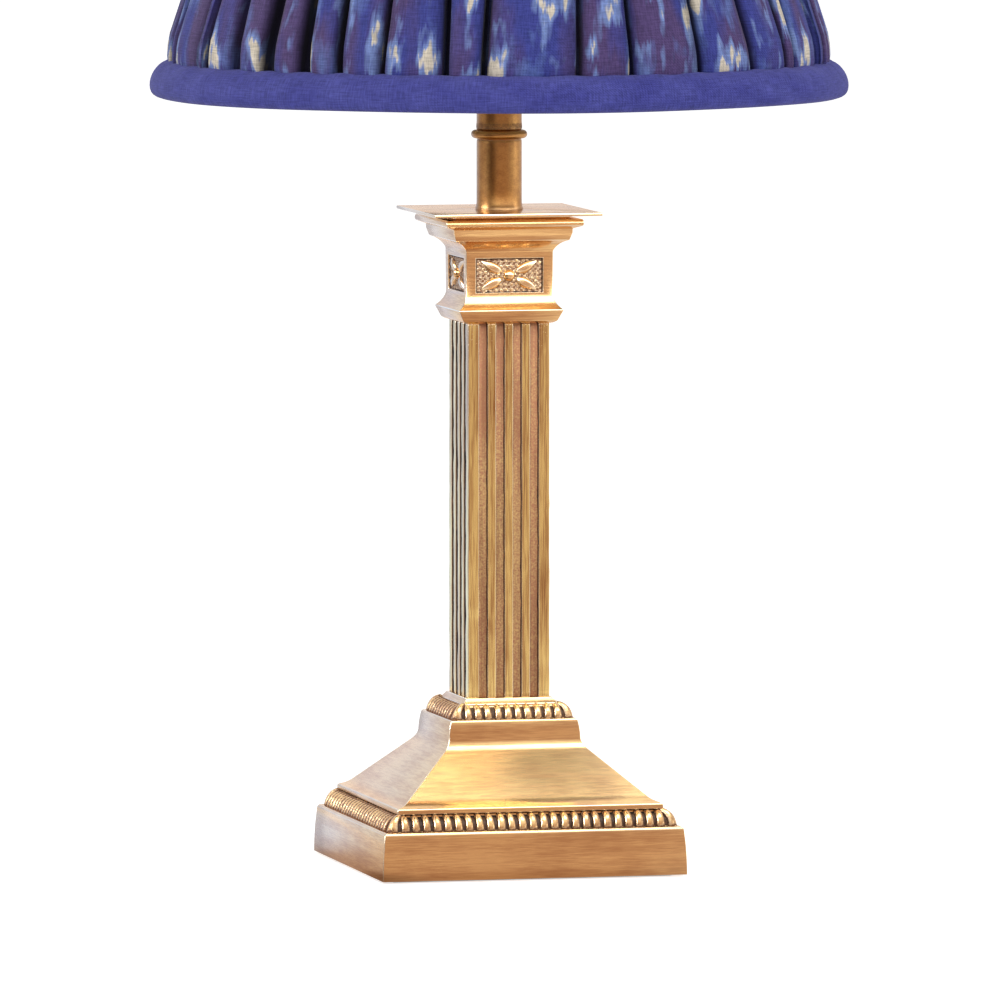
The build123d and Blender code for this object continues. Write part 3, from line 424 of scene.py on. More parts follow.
def make_aged_metal_painted_light():
    """Shared effect: brown patina in hollows with near-black painted shade in the deepest, rubbed bright
    edges in a pale painted highlight colour, cloudy tone and fine brush lines.
    """
    group, given, out = node_group(
        "aged_metal_painted_light",
        [
            ("Metal", "NodeSocketColor", (0.74, 0.52, 0.26, 1)),
            ("Tarnish", "NodeSocketColor", (0.50, 0.28, 0.13, 1)),
            ("Recess", "NodeSocketColor", (0.035, 0.016, 0.007, 1)),
            ("Polish highlight", "NodeSocketColor", (1.0, 0.93, 0.74, 1)),
            ("Tarnish amount", "NodeSocketFloat", 0.5),
            ("Edge amount", "NodeSocketFloat", 0.7),
            ("Roughness", "NodeSocketFloat", 0.3),
            ("Brush stretch", "NodeSocketVector", (0.1, 0.1, 1.0)),
            ("Cloud stretch", "NodeSocketVector", (1.0, 1.0, 1.0)),
        ],
        [
            ("Color", "NodeSocketColor"),
            ("Roughness", "NodeSocketFloat"),
            ("Height", "NodeSocketFloat"),
            ("Bare", "NodeSocketFloat"),
        ],
    )
    position = add_node(group, "ShaderNodeTexCoord").outputs["Object"]
    clouds = scaled_noise(group, position, 45.0, given.outputs["Cloud stretch"], 4.0)
    cloudy = ramp(group, clouds, [(0.38, 0.0), (0.68, 1.0)])
    brushed = add_node(
        group, "ShaderNodeMapping", {"Vector": position, "Scale": given.outputs["Brush stretch"]}
    )
    brush = add_node(
        group,
        "ShaderNodeTexNoise",
        {"Vector": brushed.outputs["Vector"], "Scale": 2600.0, "Detail": 2.0},
    ).outputs["Fac"]
    streak = add_node(
        group,
        "ShaderNodeTexNoise",
        {"Vector": brushed.outputs["Vector"], "Scale": 600.0, "Detail": 4.0},
    ).outputs["Fac"]
    grain = scaled_noise(group, position, 2100.0, (1, 1, 1), 1.0)
    shut = add_node(group, "ShaderNodeAttribute", attribute_name="hollow").outputs["Fac"]
    broken = maths(group, "ADD", shut, swing(group, clouds, 0.3))
    broken = maths(group, "ADD", broken, swing(group, grain, 0.35))
    recess = ramp(group, broken, [(0.2, 0.0), (0.45, 1.0)])
    deepest_shade = ramp(group, broken, [(0.62, 0.0), (0.95, 1.0)])
    worn = add_node(group, "ShaderNodeAttribute", attribute_name="worn").outputs["Fac"]
    edge = maths(group, "MULTIPLY", worn, ramp(group, clouds, [(0.3, 0.55), (0.6, 1.0)]))
    streaky = ramp(group, streak, [(0.36, 0.0), (0.66, 1.0)])
    fine = ramp(group, brush, [(0.4, 0.0), (0.62, 1.0)])
    dulled = maths(group, "MULTIPLY", cloudy, 0.45)
    dulled = maths(group, "MULTIPLY_ADD", streaky, 0.45, dulled)
    dulled = maths(group, "MULTIPLY_ADD", fine, 0.35, dulled)
    dulled = ramp(group, dulled, [(0.28, 0.0), (0.95, 1.0)])
    tarnish = maths(group, "MULTIPLY", dulled, given.outputs["Tarnish amount"], clamp=True)
    colour = mix_colour(group, tarnish, given.outputs["Metal"], given.outputs["Tarnish"])
    stained = maths(group, "MULTIPLY", ramp(group, streak, [(0.4, 0.0), (0.6, 1.0)]), 0.35)
    stained = mix_colour(group, stained, given.outputs["Recess"], (0.12, 0.028, 0.010, 1))
    colour = mix_colour(group, recess, colour, stained)
    # Painted shade: the deepest gaps are turned near black.
    colour = mix_colour(group, deepest_shade, colour, (0.006, 0.003, 0.002, 1))
    # Rubbed edges take the pale polish colour: real wear, brightened further as a painted highlight.
    rubbed = maths(group, "MULTIPLY", edge, given.outputs["Edge amount"])
    rubbed = maths(group, "MULTIPLY", rubbed, maths(group, "SUBTRACT", 1.0, recess))
    colour = mix_colour(group, rubbed, colour, given.outputs["Polish highlight"])
    matt_recess = maths(group, "MULTIPLY", recess, 0.35)
    roughness = maths(group, "ADD", given.outputs["Roughness"], matt_recess)
    roughness = maths(group, "ADD", roughness, swing(group, streak, 0.12))
    brush_relief = maths(group, "MULTIPLY", brush, 0.35)
    height = maths(group, "ADD", brush_relief, maths(group, "MULTIPLY", clouds, 0.5))
    bare = maths(group, "SUBTRACT", 1.0, maths(group, "MULTIPLY", recess, 0.85))
    group.links.new(colour, out.inputs["Color"])
    group.links.new(roughness, out.inputs["Roughness"])
    group.links.new(height, out.inputs["Height"])
    group.links.new(bare, out.inputs["Bare"])
    return group


aged_metal_painted_light = make_aged_metal_painted_light()


def shader(name, metallic=0.0, roughness=0.5, coat=0.0, coat_roughness=0.2, sheen=0.0):
    """A new material and its Principled BSDF, with the values that are the same all over."""
    material = bpy.data.materials.new(name)
    material.use_nodes = True
    principled = material.node_tree.nodes["Principled BSDF"]
    principled.inputs["Metallic"].default_value = metallic
    principled.inputs["Roughness"].default_value = roughness
    principled.inputs["Coat Weight"].default_value = coat
    principled.inputs["Coat Roughness"].default_value = coat_roughness
    principled.inputs["IOR"].default_value = 1.5
    principled.inputs["Sheen Weight"].default_value = sheen
    return material, material.node_tree, principled


def aged_brass_painted_light(
    name, metal, tarnish, recess, amount, roughness, stretch, edge=0.9, bump=0.12, clouds=(1, 1, 1)
):
    """Brass dipped and rubbed: the shared ageing, painted shade and painted highlight, with this piece's own
    colours and brushing.
    """
    material, tree, principled = shader(name, metallic=1.0, coat=0.08, coat_roughness=0.3)
    age = add_node(tree, "ShaderNodeGroup", node_tree=aged_metal_painted_light)
    for label, value in (
        ("Metal", (*metal, 1)),
        ("Tarnish", (*tarnish, 1)),
        ("Recess", (*recess, 1)),
        ("Tarnish amount", amount),
        ("Edge amount", edge),
        ("Roughness", roughness),
        ("Brush stretch", stretch),
        ("Cloud stretch", clouds),
    ):
        age.inputs[label].default_value = value
    bumped = add_node(
        tree,
        "ShaderNodeBump",
        {"Height": age.outputs["Height"], "Strength": bump, "Distance": 0.0001},
    )
    tree.links.new(age.outputs["Color"], principled.inputs["Base Color"])
    tree.links.new(age.outputs["Roughness"], principled.inputs["Roughness"])
    tree.links.new(age.outputs["Bare"], principled.inputs["Metallic"])
    tree.links.new(bumped.outputs["Normal"], principled.inputs["Normal"])
    return material


def dress(piece, material, body, slot, *nodes):
    """Gives a piece its material and body, in place of its CAD nodes. The slot is not used."""
    piece.data.materials.clear()
    piece.data.materials.append(material)
    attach(piece, body)
    if nodes:
        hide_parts(*nodes)


base_levels = [(16.0, 40.0), (16.2, 36.0), (36.0, 17.5), (37.0, 12.8), (CAVITY_HALF, 12.8)]
base_levels += [(CAVITY_HALF, FOOT_Z), (45.0, FOOT_Z)]
base_levels += curve_between((45.0, FOOT_Z), (44.2, 13.8), 0.2, 5)
base_levels += [(43.6, 14.4), (42.2, 14.4)]
base_levels += rounded((38.7, 14.4), 3.5, 20, 80, 3)
base_levels += [(38.7, 18.3), (38.75, 19.1), (39.3, 19.2), (39.3, 20.3), (39.12, 20.72), (38.7, 20.9)]
base_levels += curve_between((38.7, 20.9), (35.2, 22.9), -0.3, 4)
base_levels += [(21.4, 35.2)]
base_levels += curve_between((21.4, 35.2), (19.6, 38.05), -0.28, 4)
base_levels += curve_between((19.6, 38.05), (18.9, 43.5), 0.15, 3)
base_levels += [(18.5, 44.0), (17.4, 44.0)]
base_levels += rounded((14.3, 44.0), 3.1, 20, 80, 3)
base_levels += [(14.3, 47.6), (14.3, 48.1)]
base_levels += curve_between((14.3, 48.1), (12.8, 49.8), -0.12, 3)
base = square_moulding("base_casting_dressed", base_levels)
bore(base, ROD_HOLE_R, 39.0, 51.0)
bore(base, CORD_HOLE["radius"], 38.0, 47.0, axis="Y", at=(0.0, CORD_HOLE["z"]))
round_edges(base, EDGE)
lower_band = gadroon_band("lower_band", **LOWER_BAND)
upper_band = gadroon_band("upper_band", **UPPER_BAND)
body_size = len(base.data.vertices)
base = join([base, lower_band, upper_band], "base_casting_dressed")
# Shut-in places take the brown dip, with painted shade in the deepest; the floors between the lobes are set
# dark and the risers above them clear.
hollows(
    base,
    reach=1.8,
    floors=(
        (0, body_size, 14.6, 18.1, 0.82),
        (0, body_size, 18.5, 21.2, 0.0),
        (0, body_size, 44.2, 47.2, 0.82),
        (0, body_size, 47.4, 50.0, 0.0),
    ),
    right_shaded=(body_size, len(base.data.vertices)),
)
cast_brass = aged_brass_painted_light(
    "cast_brass",
    metal=(0.92, 0.62, 0.30),
    tarnish=(0.66, 0.38, 0.18),
    recess=(0.19, 0.082, 0.034),
    amount=0.9,
    roughness=0.22,
    stretch=(0.06, 0.06, 1.0),
)
dress(base, cast_brass, "lamp", "brass", "base_casting")


# --- Column ---
# A square brass shaft with four round-edged flutes on each face, drilled through for the rod.
# It is a casting too: its ribs are rubbed bright on their edges and its flutes keep the brown dip,
# with painted shade, near black, on the flutes' walls.
COLUMN = {"half": 12.1, "low": 49.8, "high": 158.1, "bore": 7.9}
FLUTE_CENTRES = (-7.575, -2.525, 2.525, 7.575)
FLUTE_HALF = 1.25
FLUTE_DEPTH = 1.5
FLUTE_LIP = 0.17
FLUTE_FLOOR = 0.12
FLUTE_DIP_AND_SHADE = {"ends": 0.16, "walls": 1.0, "floors": 0.42}


def bisect_all(piece, place_mm, normal):
    """Cuts a whole mesh by a plane at a distance in mm along its normal."""
    bpy.ops.object.mode_set(mode="EDIT")
    bpy.ops.mesh.select_all(action="SELECT")
    bpy.ops.mesh.bisect(plane_co=Vector(normal) * place_mm * mm, plane_no=normal)
    bpy.ops.object.mode_set(mode="OBJECT")


def slice_levels(piece, low, high, count):
    """Cuts level rings into a mesh, for detail to bend on."""
    for index in range(1, count):
        bisect_all(piece, low + (high - low) * index / count, (0, 0, 1))


def waver(piece, amount, size):
    """Slight unevenness of hand work: vertices pushed by smooth noise, in mm."""
    texture = bpy.data.textures.new("waver", "CLOUDS")
    texture.noise_scale = size * mm
    push = piece.modifiers.new("waver", "DISPLACE")
    push.texture = texture
    push.strength = amount * mm
    push.mid_level = 0.5
    apply_all(piece)


deselect()
bpy.ops.mesh.primitive_plane_add(size=2 * COLUMN["half"] * mm, location=(0, 0, COLUMN["low"] * mm))
column = place(bpy.context.object)
column.name = "column_dressed"
inner = COLUMN["half"] - FLUTE_DEPTH
for normal in ((1, 0, 0), (0, 1, 0)):
    for cut in (-inner, inner):
        bisect_all(column, cut, normal)
    for centre in FLUTE_CENTRES:
        bisect_all(column, centre - FLUTE_HALF, normal)
        bisect_all(column, centre + FLUTE_HALF, normal)
bpy.ops.object.mode_set(mode="EDIT")
bpy.ops.mesh.select_mode(type="FACE")
bpy.ops.object.mode_set(mode="OBJECT")
for face in column.data.polygons:
    across, along = sorted((abs(face.center.x / mm), abs(face.center.y / mm)))
    in_flute = any(abs(across - abs(centre)) < FLUTE_HALF for centre in FLUTE_CENTRES)
    face.select = along > inner and in_flute
bpy.ops.object.mode_set(mode="EDIT")
bpy.ops.mesh.delete(type="FACE")
bpy.ops.mesh.select_all(action="SELECT")
bpy.ops.mesh.dissolve_limited(angle_limit=math.radians(1))
bpy.ops.mesh.select_all(action="SELECT")
bpy.ops.mesh.extrude_region_move(
    TRANSFORM_OT_translate={"value": (0, 0, (COLUMN["high"] - COLUMN["low"]) * mm)}
)
bpy.ops.mesh.select_all(action="SELECT")
bpy.ops.mesh.normals_make_consistent(inside=False)
bpy.ops.object.mode_set(mode="OBJECT")
bore(column, COLUMN["bore"], COLUMN["low"] - 1, COLUMN["high"] + 1)
round_edges(column, 0.42, segments=4, angle=50)
slice_levels(column, COLUMN["low"], COLUMN["high"], count=60)
waver(column, amount=0.34, size=5.0)
bpy.ops.object.shade_smooth_by_angle(angle=math.radians(40))
worn_edges(column)
# Darker towards both ends as tarnish; in the flutes, the walls get near-black painted shade and the floors
# the brown dip with some painted shade.
dip_and_shade = column.data.attributes.new("hollow", "FLOAT", "POINT")
for vertex, mark in zip(column.data.vertices, dip_and_shade.data):
    share = 2 * (vertex.co.z / mm - COLUMN["low"]) / (COLUMN["high"] - COLUMN["low"]) - 1
    mark.value = FLUTE_DIP_AND_SHADE["ends"] * share * share
    depth = COLUMN["half"] - max(abs(vertex.co.x), abs(vertex.co.y)) / mm
    if FLUTE_LIP < depth < FLUTE_DEPTH - FLUTE_FLOOR:
        mark.value = FLUTE_DIP_AND_SHADE["walls"]
    elif depth >= FLUTE_DEPTH - FLUTE_FLOOR:
        mark.value = FLUTE_DIP_AND_SHADE["floors"]
column_brass = aged_brass_painted_light(
    "column_brass",
    metal=(1.0, 0.83, 0.36),
    tarnish=(0.36, 0.15, 0.055),
    recess=(0.58, 0.25, 0.13),
    amount=0.85,
    roughness=0.22,
    stretch=(1.0, 1.0, 0.035),
    clouds=(1.0, 1.0, 0.3),
)
dress(column, column_brass, "lamp", "brass", "column_shaft")


# --- Capital ---
# A cast brass block that flares above the flutes, with a sunk panel of four leaves round a boss on
# each side and a stepped cornice. The panel's ground is punched rough and keeps its dark patina.
PANEL = {"half_width": 9.9, "half_height": 4.95, "depth": 0.9, "z": 172.1, "face": 12.9, "lap": 0.15}
LEAVES = ((1, 1), (-1, 1), (1, -1), (-1, -1))

capital_levels = [(12.1, 158.1)]
capital_levels += curve_between((12.1, 158.1), (14.05, 158.9), 0.15, 2)
capital_levels += [(15.55, 162.1)]
capital_levels += curve_between((15.55, 162.1), (12.85, 166.0), -0.42, 6)
capital_levels += [(12.95, 179.0), (13.25, 179.6)]
capital_levels += curve_between((13.25, 179.6), (16.9, 182.3), -0.45, 6)
capital_levels += [(17.65, 184.5), (17.7, 185.7), (20.2, 186.6)]
capital_levels += curve_between((20.2, 186.6), (20.0, 188.5), 0.3, 3)
capital_levels += [(17.0, 188.7), (17.0, 189.6)]
capital = square_moulding("capital_dressed", capital_levels)
bore(capital, ROD_HOLE_R, 157.0, 191.0)
for quarter in range(4):
    deselect()
    bpy.ops.mesh.primitive_cube_add(
        size=1, location=(0, -(PANEL["face"] + 1.0) * mm, PANEL["z"] * mm)
    )
    window = bpy.context.object
    window.scale = (
        2 * PANEL["half_width"] * mm,
        (2 * PANEL["depth"] + 2) * mm,
        2 * PANEL["half_height"] * mm,
    )
    place(window)
    window.rotation_euler = (0, 0, quarter * math.pi / 2)
    place(window)
    sink = capital.modifiers.new("sink", "BOOLEAN")
    sink.object = window
    sink.solver = "EXACT"
    apply_all(capital)
    bpy.data.objects.remove(window)
round_edges(capital, 0.2)


def panel_ground(rng):
    """The rough ground of a sunk panel, raised in small punched lumps, rising to meet its walls. Its values
    darken the punch marks as dip, and the edge along the walls as painted shade.
    """
    deselect()
    bpy.ops.mesh.primitive_grid_add(x_subdivisions=96, y_subdivisions=48, size=2)
    ground = bpy.context.object
    ground.scale = ((PANEL["half_width"] + PANEL["lap"]) * mm, (PANEL["half_height"] + PANEL["lap"]) * mm, 1)
    ground.rotation_euler = (math.pi / 2, 0, 0)
    place(ground)
    level = PANEL["face"] - PANEL["depth"] + 0.12
    dip_and_shade = []
    for vertex in ground.data.vertices:
        side = PANEL["half_width"] + PANEL["lap"] - abs(vertex.co.x) / mm
        end = PANEL["half_height"] + PANEL["lap"] - abs(vertex.co.z) / mm
        ragged = 0.6 + 0.4 * math.sin(vertex.co.x / mm * 2.3) * math.sin(vertex.co.z / mm * 3.1 + 1)
        climb = max(0.0, 1 - min(side, end) / ragged)
        punched = 0.16 * math.sin(vertex.co.x / mm * 7.9 + 2 * math.sin(vertex.co.z / mm * 3.7))
        punched *= math.sin(vertex.co.z / mm * 8.3 + 2 * math.sin(vertex.co.x / mm * 4.1))
        vertex.co.y = -(level + 0.62 * climb * climb + punched + rng.uniform(-0.05, 0.05)) * mm
        vertex.co.z += PANEL["z"] * mm
        # Painted shade where the ground rises to the walls; the dip in the punch marks.
        dip_and_shade.append(min(1.0, max(0.0, 0.44 + 1.3 * climb - 2.4 * punched)))
    return ground, dip_and_shade


def panel_leaf(towards_x, towards_z):
    """An almond leaf with a raised centre crease, drawn from the boss out to a panel corner."""
    start = Vector((2.0 * towards_x, 0.8 * towards_z))
    tip = Vector((8.2 * towards_x, 4.1 * towards_z))
    along = tip - start
    across = Vector((-along.y, along.x)).normalized()
    level = PANEL["face"] - PANEL["depth"] + 0.1
    deselect()
    bpy.ops.mesh.primitive_grid_add(x_subdivisions=12, y_subdivisions=6, size=2)
    leaf = bpy.context.object
    place(leaf)
    for vertex in leaf.data.vertices:
        share = (vertex.co.x + 1) / 2
        side = vertex.co.y
        swell = math.sin(math.pi * share ** 0.85) ** 0.8 if 0 < share < 1 else 0.0
        spot = start + along * share + across * side * (1.6 * swell + 0.02)
        dome = swell * (1.15 * (1 - side * side) ** 0.6 if abs(side) < 1 else 0.0)
        crease = 0.26 * swell * math.exp(-((side / 0.2) ** 2))
        vertex.co = Vector((spot.x, -(level + dome - crease), spot.y + PANEL["z"])) * mm
    return leaf


ground, ground_dip_and_shade = panel_ground(random.Random(11))
panel_parts = [ground]
panel_parts += [panel_leaf(*way) for way in LEAVES]
deselect()
bpy.ops.mesh.primitive_uv_sphere_add(
    segments=10,
    ring_count=6,
    radius=1.85 * mm,
    location=(0, -(PANEL["face"] - PANEL["depth"]) * mm, PANEL["z"] * mm),
)
panel_parts.append(place(bpy.context.object))
panel = join(panel_parts, "panel")
bpy.ops.object.mode_set(mode="EDIT")
bpy.ops.mesh.select_all(action="SELECT")
bpy.ops.mesh.normals_make_consistent(inside=False)
bpy.ops.object.mode_set(mode="OBJECT")
panels = [copy_turned(panel, quarter * math.pi / 2) for quarter in range(4)]
panel_size = len(panel.data.vertices)
block_size = len(capital.data.vertices)
bpy.data.objects.remove(panel)
for part in panels:
    part.data.shade_smooth()
capital = join([capital, *panels], "capital_dressed")
hollows(capital, reach=0.5)
for quarter in range(4):
    for index, value in enumerate(ground_dip_and_shade):
        mark = capital.data.attributes["hollow"].data[block_size + quarter * panel_size + index]
        mark.value = value
dress(capital, cast_brass, "lamp", "brass", "capital")


# --- Top plate ---
# A thin square brass plate that overhangs the cornice, its edge filed soft and rubbed bright.
# The stem stands on it and clamps it down.
PLATE = {"half": 24.825, "low": 189.6, "high": 190.6}
plate = square_moulding(
    "top_plate_dressed",
    [
        (PLATE["half"] - 0.15, PLATE["low"]),
        (PLATE["half"], PLATE["low"] + 0.5),
        (PLATE["half"] - 0.1, PLATE["high"]),
    ],
)
bore(plate, ROD_HOLE_R, PLATE["low"] - 1, PLATE["high"] + 1)
round_edges(plate, 0.15)
hollows(plate)
dress(plate, cast_brass, "lamp", "brass", "abacus_plate")


# --- Stem ---
# Three lathe-turned brass pieces on the rod: the tube, a rounded ring and the tube above it.
# They are browner than the castings, with a fine satin turning and a pitted collar over the ring.
LATHE_STEPS = 72


def turned(name, outline):
    """A solid of revolution from (radius, height) points in mm, closed on the axis or as a ring."""
    deselect()
    bpy.ops.mesh.primitive_plane_add(size=mm)
    piece = bpy.context.object
    piece.name = name
    bpy.ops.object.mode_set(mode="EDIT")
    bpy.ops.mesh.select_mode(type="VERT")
    bpy.ops.mesh.select_all(action="SELECT")
    bpy.ops.mesh.merge(type="CENTER")
    radius, height = outline[0]
    bpy.ops.transform.translate(value=(radius * mm, 0, height * mm))
    for next_radius, next_height in outline[1:]:
        bpy.ops.mesh.extrude_region_move(
            TRANSFORM_OT_translate={"value": ((next_radius - radius) * mm, 0, (next_height - height) * mm)}
        )
        radius, height = next_radius, next_height
    bpy.ops.mesh.select_all(action="SELECT")
    bpy.ops.mesh.spin(steps=LATHE_STEPS, angle=2 * math.pi, center=(0, 0, 0), axis=(0, 0, 1))
    bpy.ops.mesh.select_all(action="SELECT")
    bpy.ops.mesh.remove_doubles(threshold=0.001 * mm)
    bpy.ops.mesh.normals_make_consistent(inside=False)
    bpy.ops.object.mode_set(mode="OBJECT")
    bpy.ops.object.shade_smooth_by_angle(angle=math.radians(35))
    return piece


stem = turned(
    "stem_dressed",
    [(ROD_HOLE_R, 190.6), (6.85, 190.6), (6.9, 190.9), (6.7, 191.5), (6.58, 192.4), (6.55, 193.4)]
    + [(6.55, 194.2), (6.55, 209.8), (6.5, 210.6), (6.3, 211.1), (ROD_HOLE_R, 211.1), (ROD_HOLE_R, 190.6)],
)
knop = turned(
    "knop_dressed",
    [(ROD_HOLE_R, 211.1), (6.6, 211.1)]
    + rounded((6.95, 212.3), 1.2, -80, 80, 10)
    + [(6.6, 213.5), (ROD_HOLE_R, 213.5), (ROD_HOLE_R, 211.1)],
)
upper = turned(
    "upper_tube_dressed",
    [(ROD_HOLE_R, 213.5), (6.3, 213.5), (6.62, 213.9), (6.66, 214.6), (6.6, 215.4), (6.55, 216.2)]
    + [(6.55, 217.0), (6.55, 229.0), (6.5, 229.6), (6.2, 230.0), (ROD_HOLE_R, 230.0), (ROD_HOLE_R, 213.5)],
)
stem_brass = aged_brass_painted_light(
    "stem_brass",
    metal=(0.53, 0.29, 0.10),
    tarnish=(0.30, 0.14, 0.06),
    recess=(0.10, 0.045, 0.018),
    amount=0.6,
    roughness=0.33,
    stretch=(0.7, 0.7, 1.0),
    edge=0.5,
    bump=0.15,
)
for piece, node in ((stem, "stem_tube"), (knop, "knop_ring"), (upper, "upper_tube")):
    hollows(piece, floors=((0, len(piece.data.vertices), 213.7, 216.1, 0.3),))
    dress(piece, stem_brass, "lamp", "brass_dark", node)


# --- Lampholder, rod and fixings ---
# Bought brass and steel fittings, mostly out of sight: each is the CAD piece with its facets merged
# and shaded smooth. The brass is bright with fingermarks, the steel zinc-grey and the bar black.


def merged_copy(node):
    """A copy of a CAD node with its loose triangles merged and its sharp edges kept."""
    copy = cad[node].copy()
    copy.data = cad[node].data.copy()
    copy.name = f"{node}_dressed"
    bpy.context.scene.collection.objects.link(copy)
    deselect()
    copy.hide_render = False
    copy.hide_viewport = False
    copy.select_set(True)
    bpy.context.view_layer.objects.active = copy
    bpy.ops.object.mode_set(mode="EDIT")
    bpy.ops.mesh.select_all(action="SELECT")
    bpy.ops.mesh.remove_doubles(threshold=0.002 * mm)
    bpy.ops.object.mode_set(mode="OBJECT")
    bpy.ops.object.shade_smooth_by_angle(angle=math.radians(30))
    return copy


def marked_surface(name, colour, dull, metallic, roughness, coat=0.0):
    """A plain part's finish: cloudy handling marks over one colour, and a fine grain."""
    material, tree, principled = shader(name, metallic=metallic, coat=coat)
    position = add_node(tree, "ShaderNodeTexCoord").outputs["Object"]
    marks = scaled_noise(tree, position, 120.0, (1, 1, 1), 5.0)
    share = ramp(tree, marks, [(0.35, 0.0), (0.7, 1.0)])
    tree.links.new(mix_colour(tree, share, (*colour, 1), (*dull, 1)), principled.inputs["Base Color"])
    rough = maths(tree, "ADD", roughness - 0.08, maths(tree, "MULTIPLY", marks, 0.2))
    tree.links.new(rough, principled.inputs["Roughness"])
    grain = scaled_noise(tree, position, 3000.0, (1, 1, 0.3), 2.0)
    bumped = add_node(tree, "ShaderNodeBump", {"Height": grain, "Strength": 0.2, "Distance": 0.00005})
    tree.links.new(bumped.outputs["Normal"], principled.inputs["Normal"])
    return material


bright_brass = marked_surface("bright_brass", (0.86, 0.64, 0.28), (0.66, 0.42, 0.18), 1.0, 0.3)
zinc_steel = marked_surface("zinc_steel", (0.60, 0.60, 0.60), (0.40, 0.40, 0.39), 1.0, 0.35)
nickel = marked_surface("nickel", (0.72, 0.69, 0.64), (0.52, 0.48, 0.44), 1.0, 0.25)
black_plastic = marked_surface("black_plastic", (0.012, 0.012, 0.013), (0.03, 0.03, 0.03), 0.0, 0.45)
slot_finishes = {
    "brass_bright": bright_brass,
    "steel": zinc_steel,
    "nickel": nickel,
    "black_plastic": black_plastic,
}
body_of = {
    node: body for body, nodes in frame["record"]["behaviour"]["bodies"].items() for node in nodes
}
for subpart in frame["record"]["subparts"]:
    if subpart["material_slot"] in slot_finishes:
        node = subpart["node"]
        slot = subpart["material_slot"]
        fitting = merged_copy(node)
        dress(fitting, slot_finishes[slot], body_of[node], slot, node)


# --- Felt pad ---
# Green baize cut square and glued under the base plate: the only cloth below the shade.
# A thin slab with a soft cut edge, its nap in fine clumped fibres.
FELT = {"half": 41.3, "thick": 1.5}


def felted_cloth(name, nap, colour, shade):
    """A felted cloth's material, its colour and height broken up by clumps of nap."""
    material, tree, principled = shader(name, roughness=0.92, sheen=0.4)
    principled.inputs["Sheen Roughness"].default_value = 0.5
    position = add_node(tree, "ShaderNodeTexCoord").outputs["Object"]
    fibres = scaled_noise(tree, position, nap, (1, 1, 1), 6.0)
    share = ramp(tree, fibres, [(0.3, 0.0), (0.7, 1.0)])
    tree.links.new(mix_colour(tree, share, (*colour, 1), (*shade, 1)), principled.inputs["Base Color"])
    bumped = add_node(tree, "ShaderNodeBump", {"Height": fibres, "Strength": 0.6, "Distance": 0.0003})
    tree.links.new(bumped.outputs["Normal"], principled.inputs["Normal"])
    return material


deselect()
bpy.ops.mesh.primitive_grid_add(
    x_subdivisions=40, y_subdivisions=40, size=2 * FELT["half"] * mm, location=(0, 0, FELT["thick"] * mm)
)
felt = place(bpy.context.object)
felt.name = "felt_dressed"
thickness = felt.modifiers.new("thickness", "SOLIDIFY")
thickness.thickness = FELT["thick"] * mm
thickness.offset = -1.0
apply_all(felt)
round_edges(felt, 0.3, segments=2, angle=60)
baize = felted_cloth("baize", 1800.0, (0.035, 0.075, 0.045), (0.075, 0.13, 0.085))
dress(felt, baize, "lamp", "felt", "felt_pad")


# --- Bulb ---
# A round opal glass bulb on a nickel screw cap. The glass is milky, smooth and faintly dusty.
globe = turned(
    "globe_dressed",
    [(0.0, 286.2), (9.0, 286.2), (9.6, 291.5), (10.4, 294.6), (12.2, 296.9)]
    + rounded((0.0, 315.5), 22.5, -56, 90, 30)[:-1]
    + [(0.0, 338.0)],
)
bpy.ops.object.shade_smooth()
opal, opal_tree, opal_principled = shader("opal_glass", roughness=0.14, coat=0.3, coat_roughness=0.06)
opal_principled.inputs["Subsurface Weight"].default_value = 0.35
opal_principled.inputs["Subsurface Scale"].default_value = 0.004
opal_place = add_node(opal_tree, "ShaderNodeTexCoord").outputs["Object"]
specks = scaled_noise(opal_tree, opal_place, 160.0, (1, 1, 1), 6.0)
dust = ramp(opal_tree, specks, [(0.35, 0.0), (0.75, 1.0)])
milk = mix_colour(opal_tree, dust, (0.90, 0.89, 0.86, 1), (0.82, 0.80, 0.76, 1))
opal_tree.links.new(milk, opal_principled.inputs["Base Color"])
dulled = maths(opal_tree, "ADD", 0.1, maths(opal_tree, "MULTIPLY", dust, 0.14))
opal_tree.links.new(dulled, opal_principled.inputs["Roughness"])
dress(globe, opal, "bulb", "opal_glass", "bulb_globe")


# --- Shade frame and gimbal ---
# Bent steel wire and strip, white powder-coated, with the thick, slightly orange-peeled film of such
# a coating. The merged CAD pieces keep the wires' exact run.
white_coat = marked_surface("white_coat", (0.80, 0.79, 0.75), (0.66, 0.64, 0.59), 0.0, 0.4, coat=0.2)
for subpart in frame["record"]["subparts"]:
    if subpart["material_slot"] == "white_wire":
        node = subpart["node"]
        wire = merged_copy(node)
        bpy.ops.object.shade_smooth()
        dress(wire, white_coat, body_of[node], "white_wire", node)


# --- Shade cover ---
# Indigo linen, resist-dyed in feathered blotches of light blue and cream, cut as one long strip and
# gathered by hand onto the two rings in uneven, deep folds.
COVER = {"low": 231.6, "high": 365.2, "folds": 44, "rows": 40, "thick": 0.4}
STRIP_HEIGHT = 0.142
STRIP_ROW = 4
CREASE_SHADE = (1.0, 1.0, 0.9, 0.55, 0.32, 0.14, 0.0, 0.0, 0.05, 0.2, 0.4, 0.62, 0.9, 1.0)
DEEP_SHADE = 0.6
NARROW_GAP = {"below": 0.15, "darkest": 0.56}


def ring_radius(height):
    """The frame's cone, in mm."""
    return 91.6 - 0.33857 * (height - 228.0)


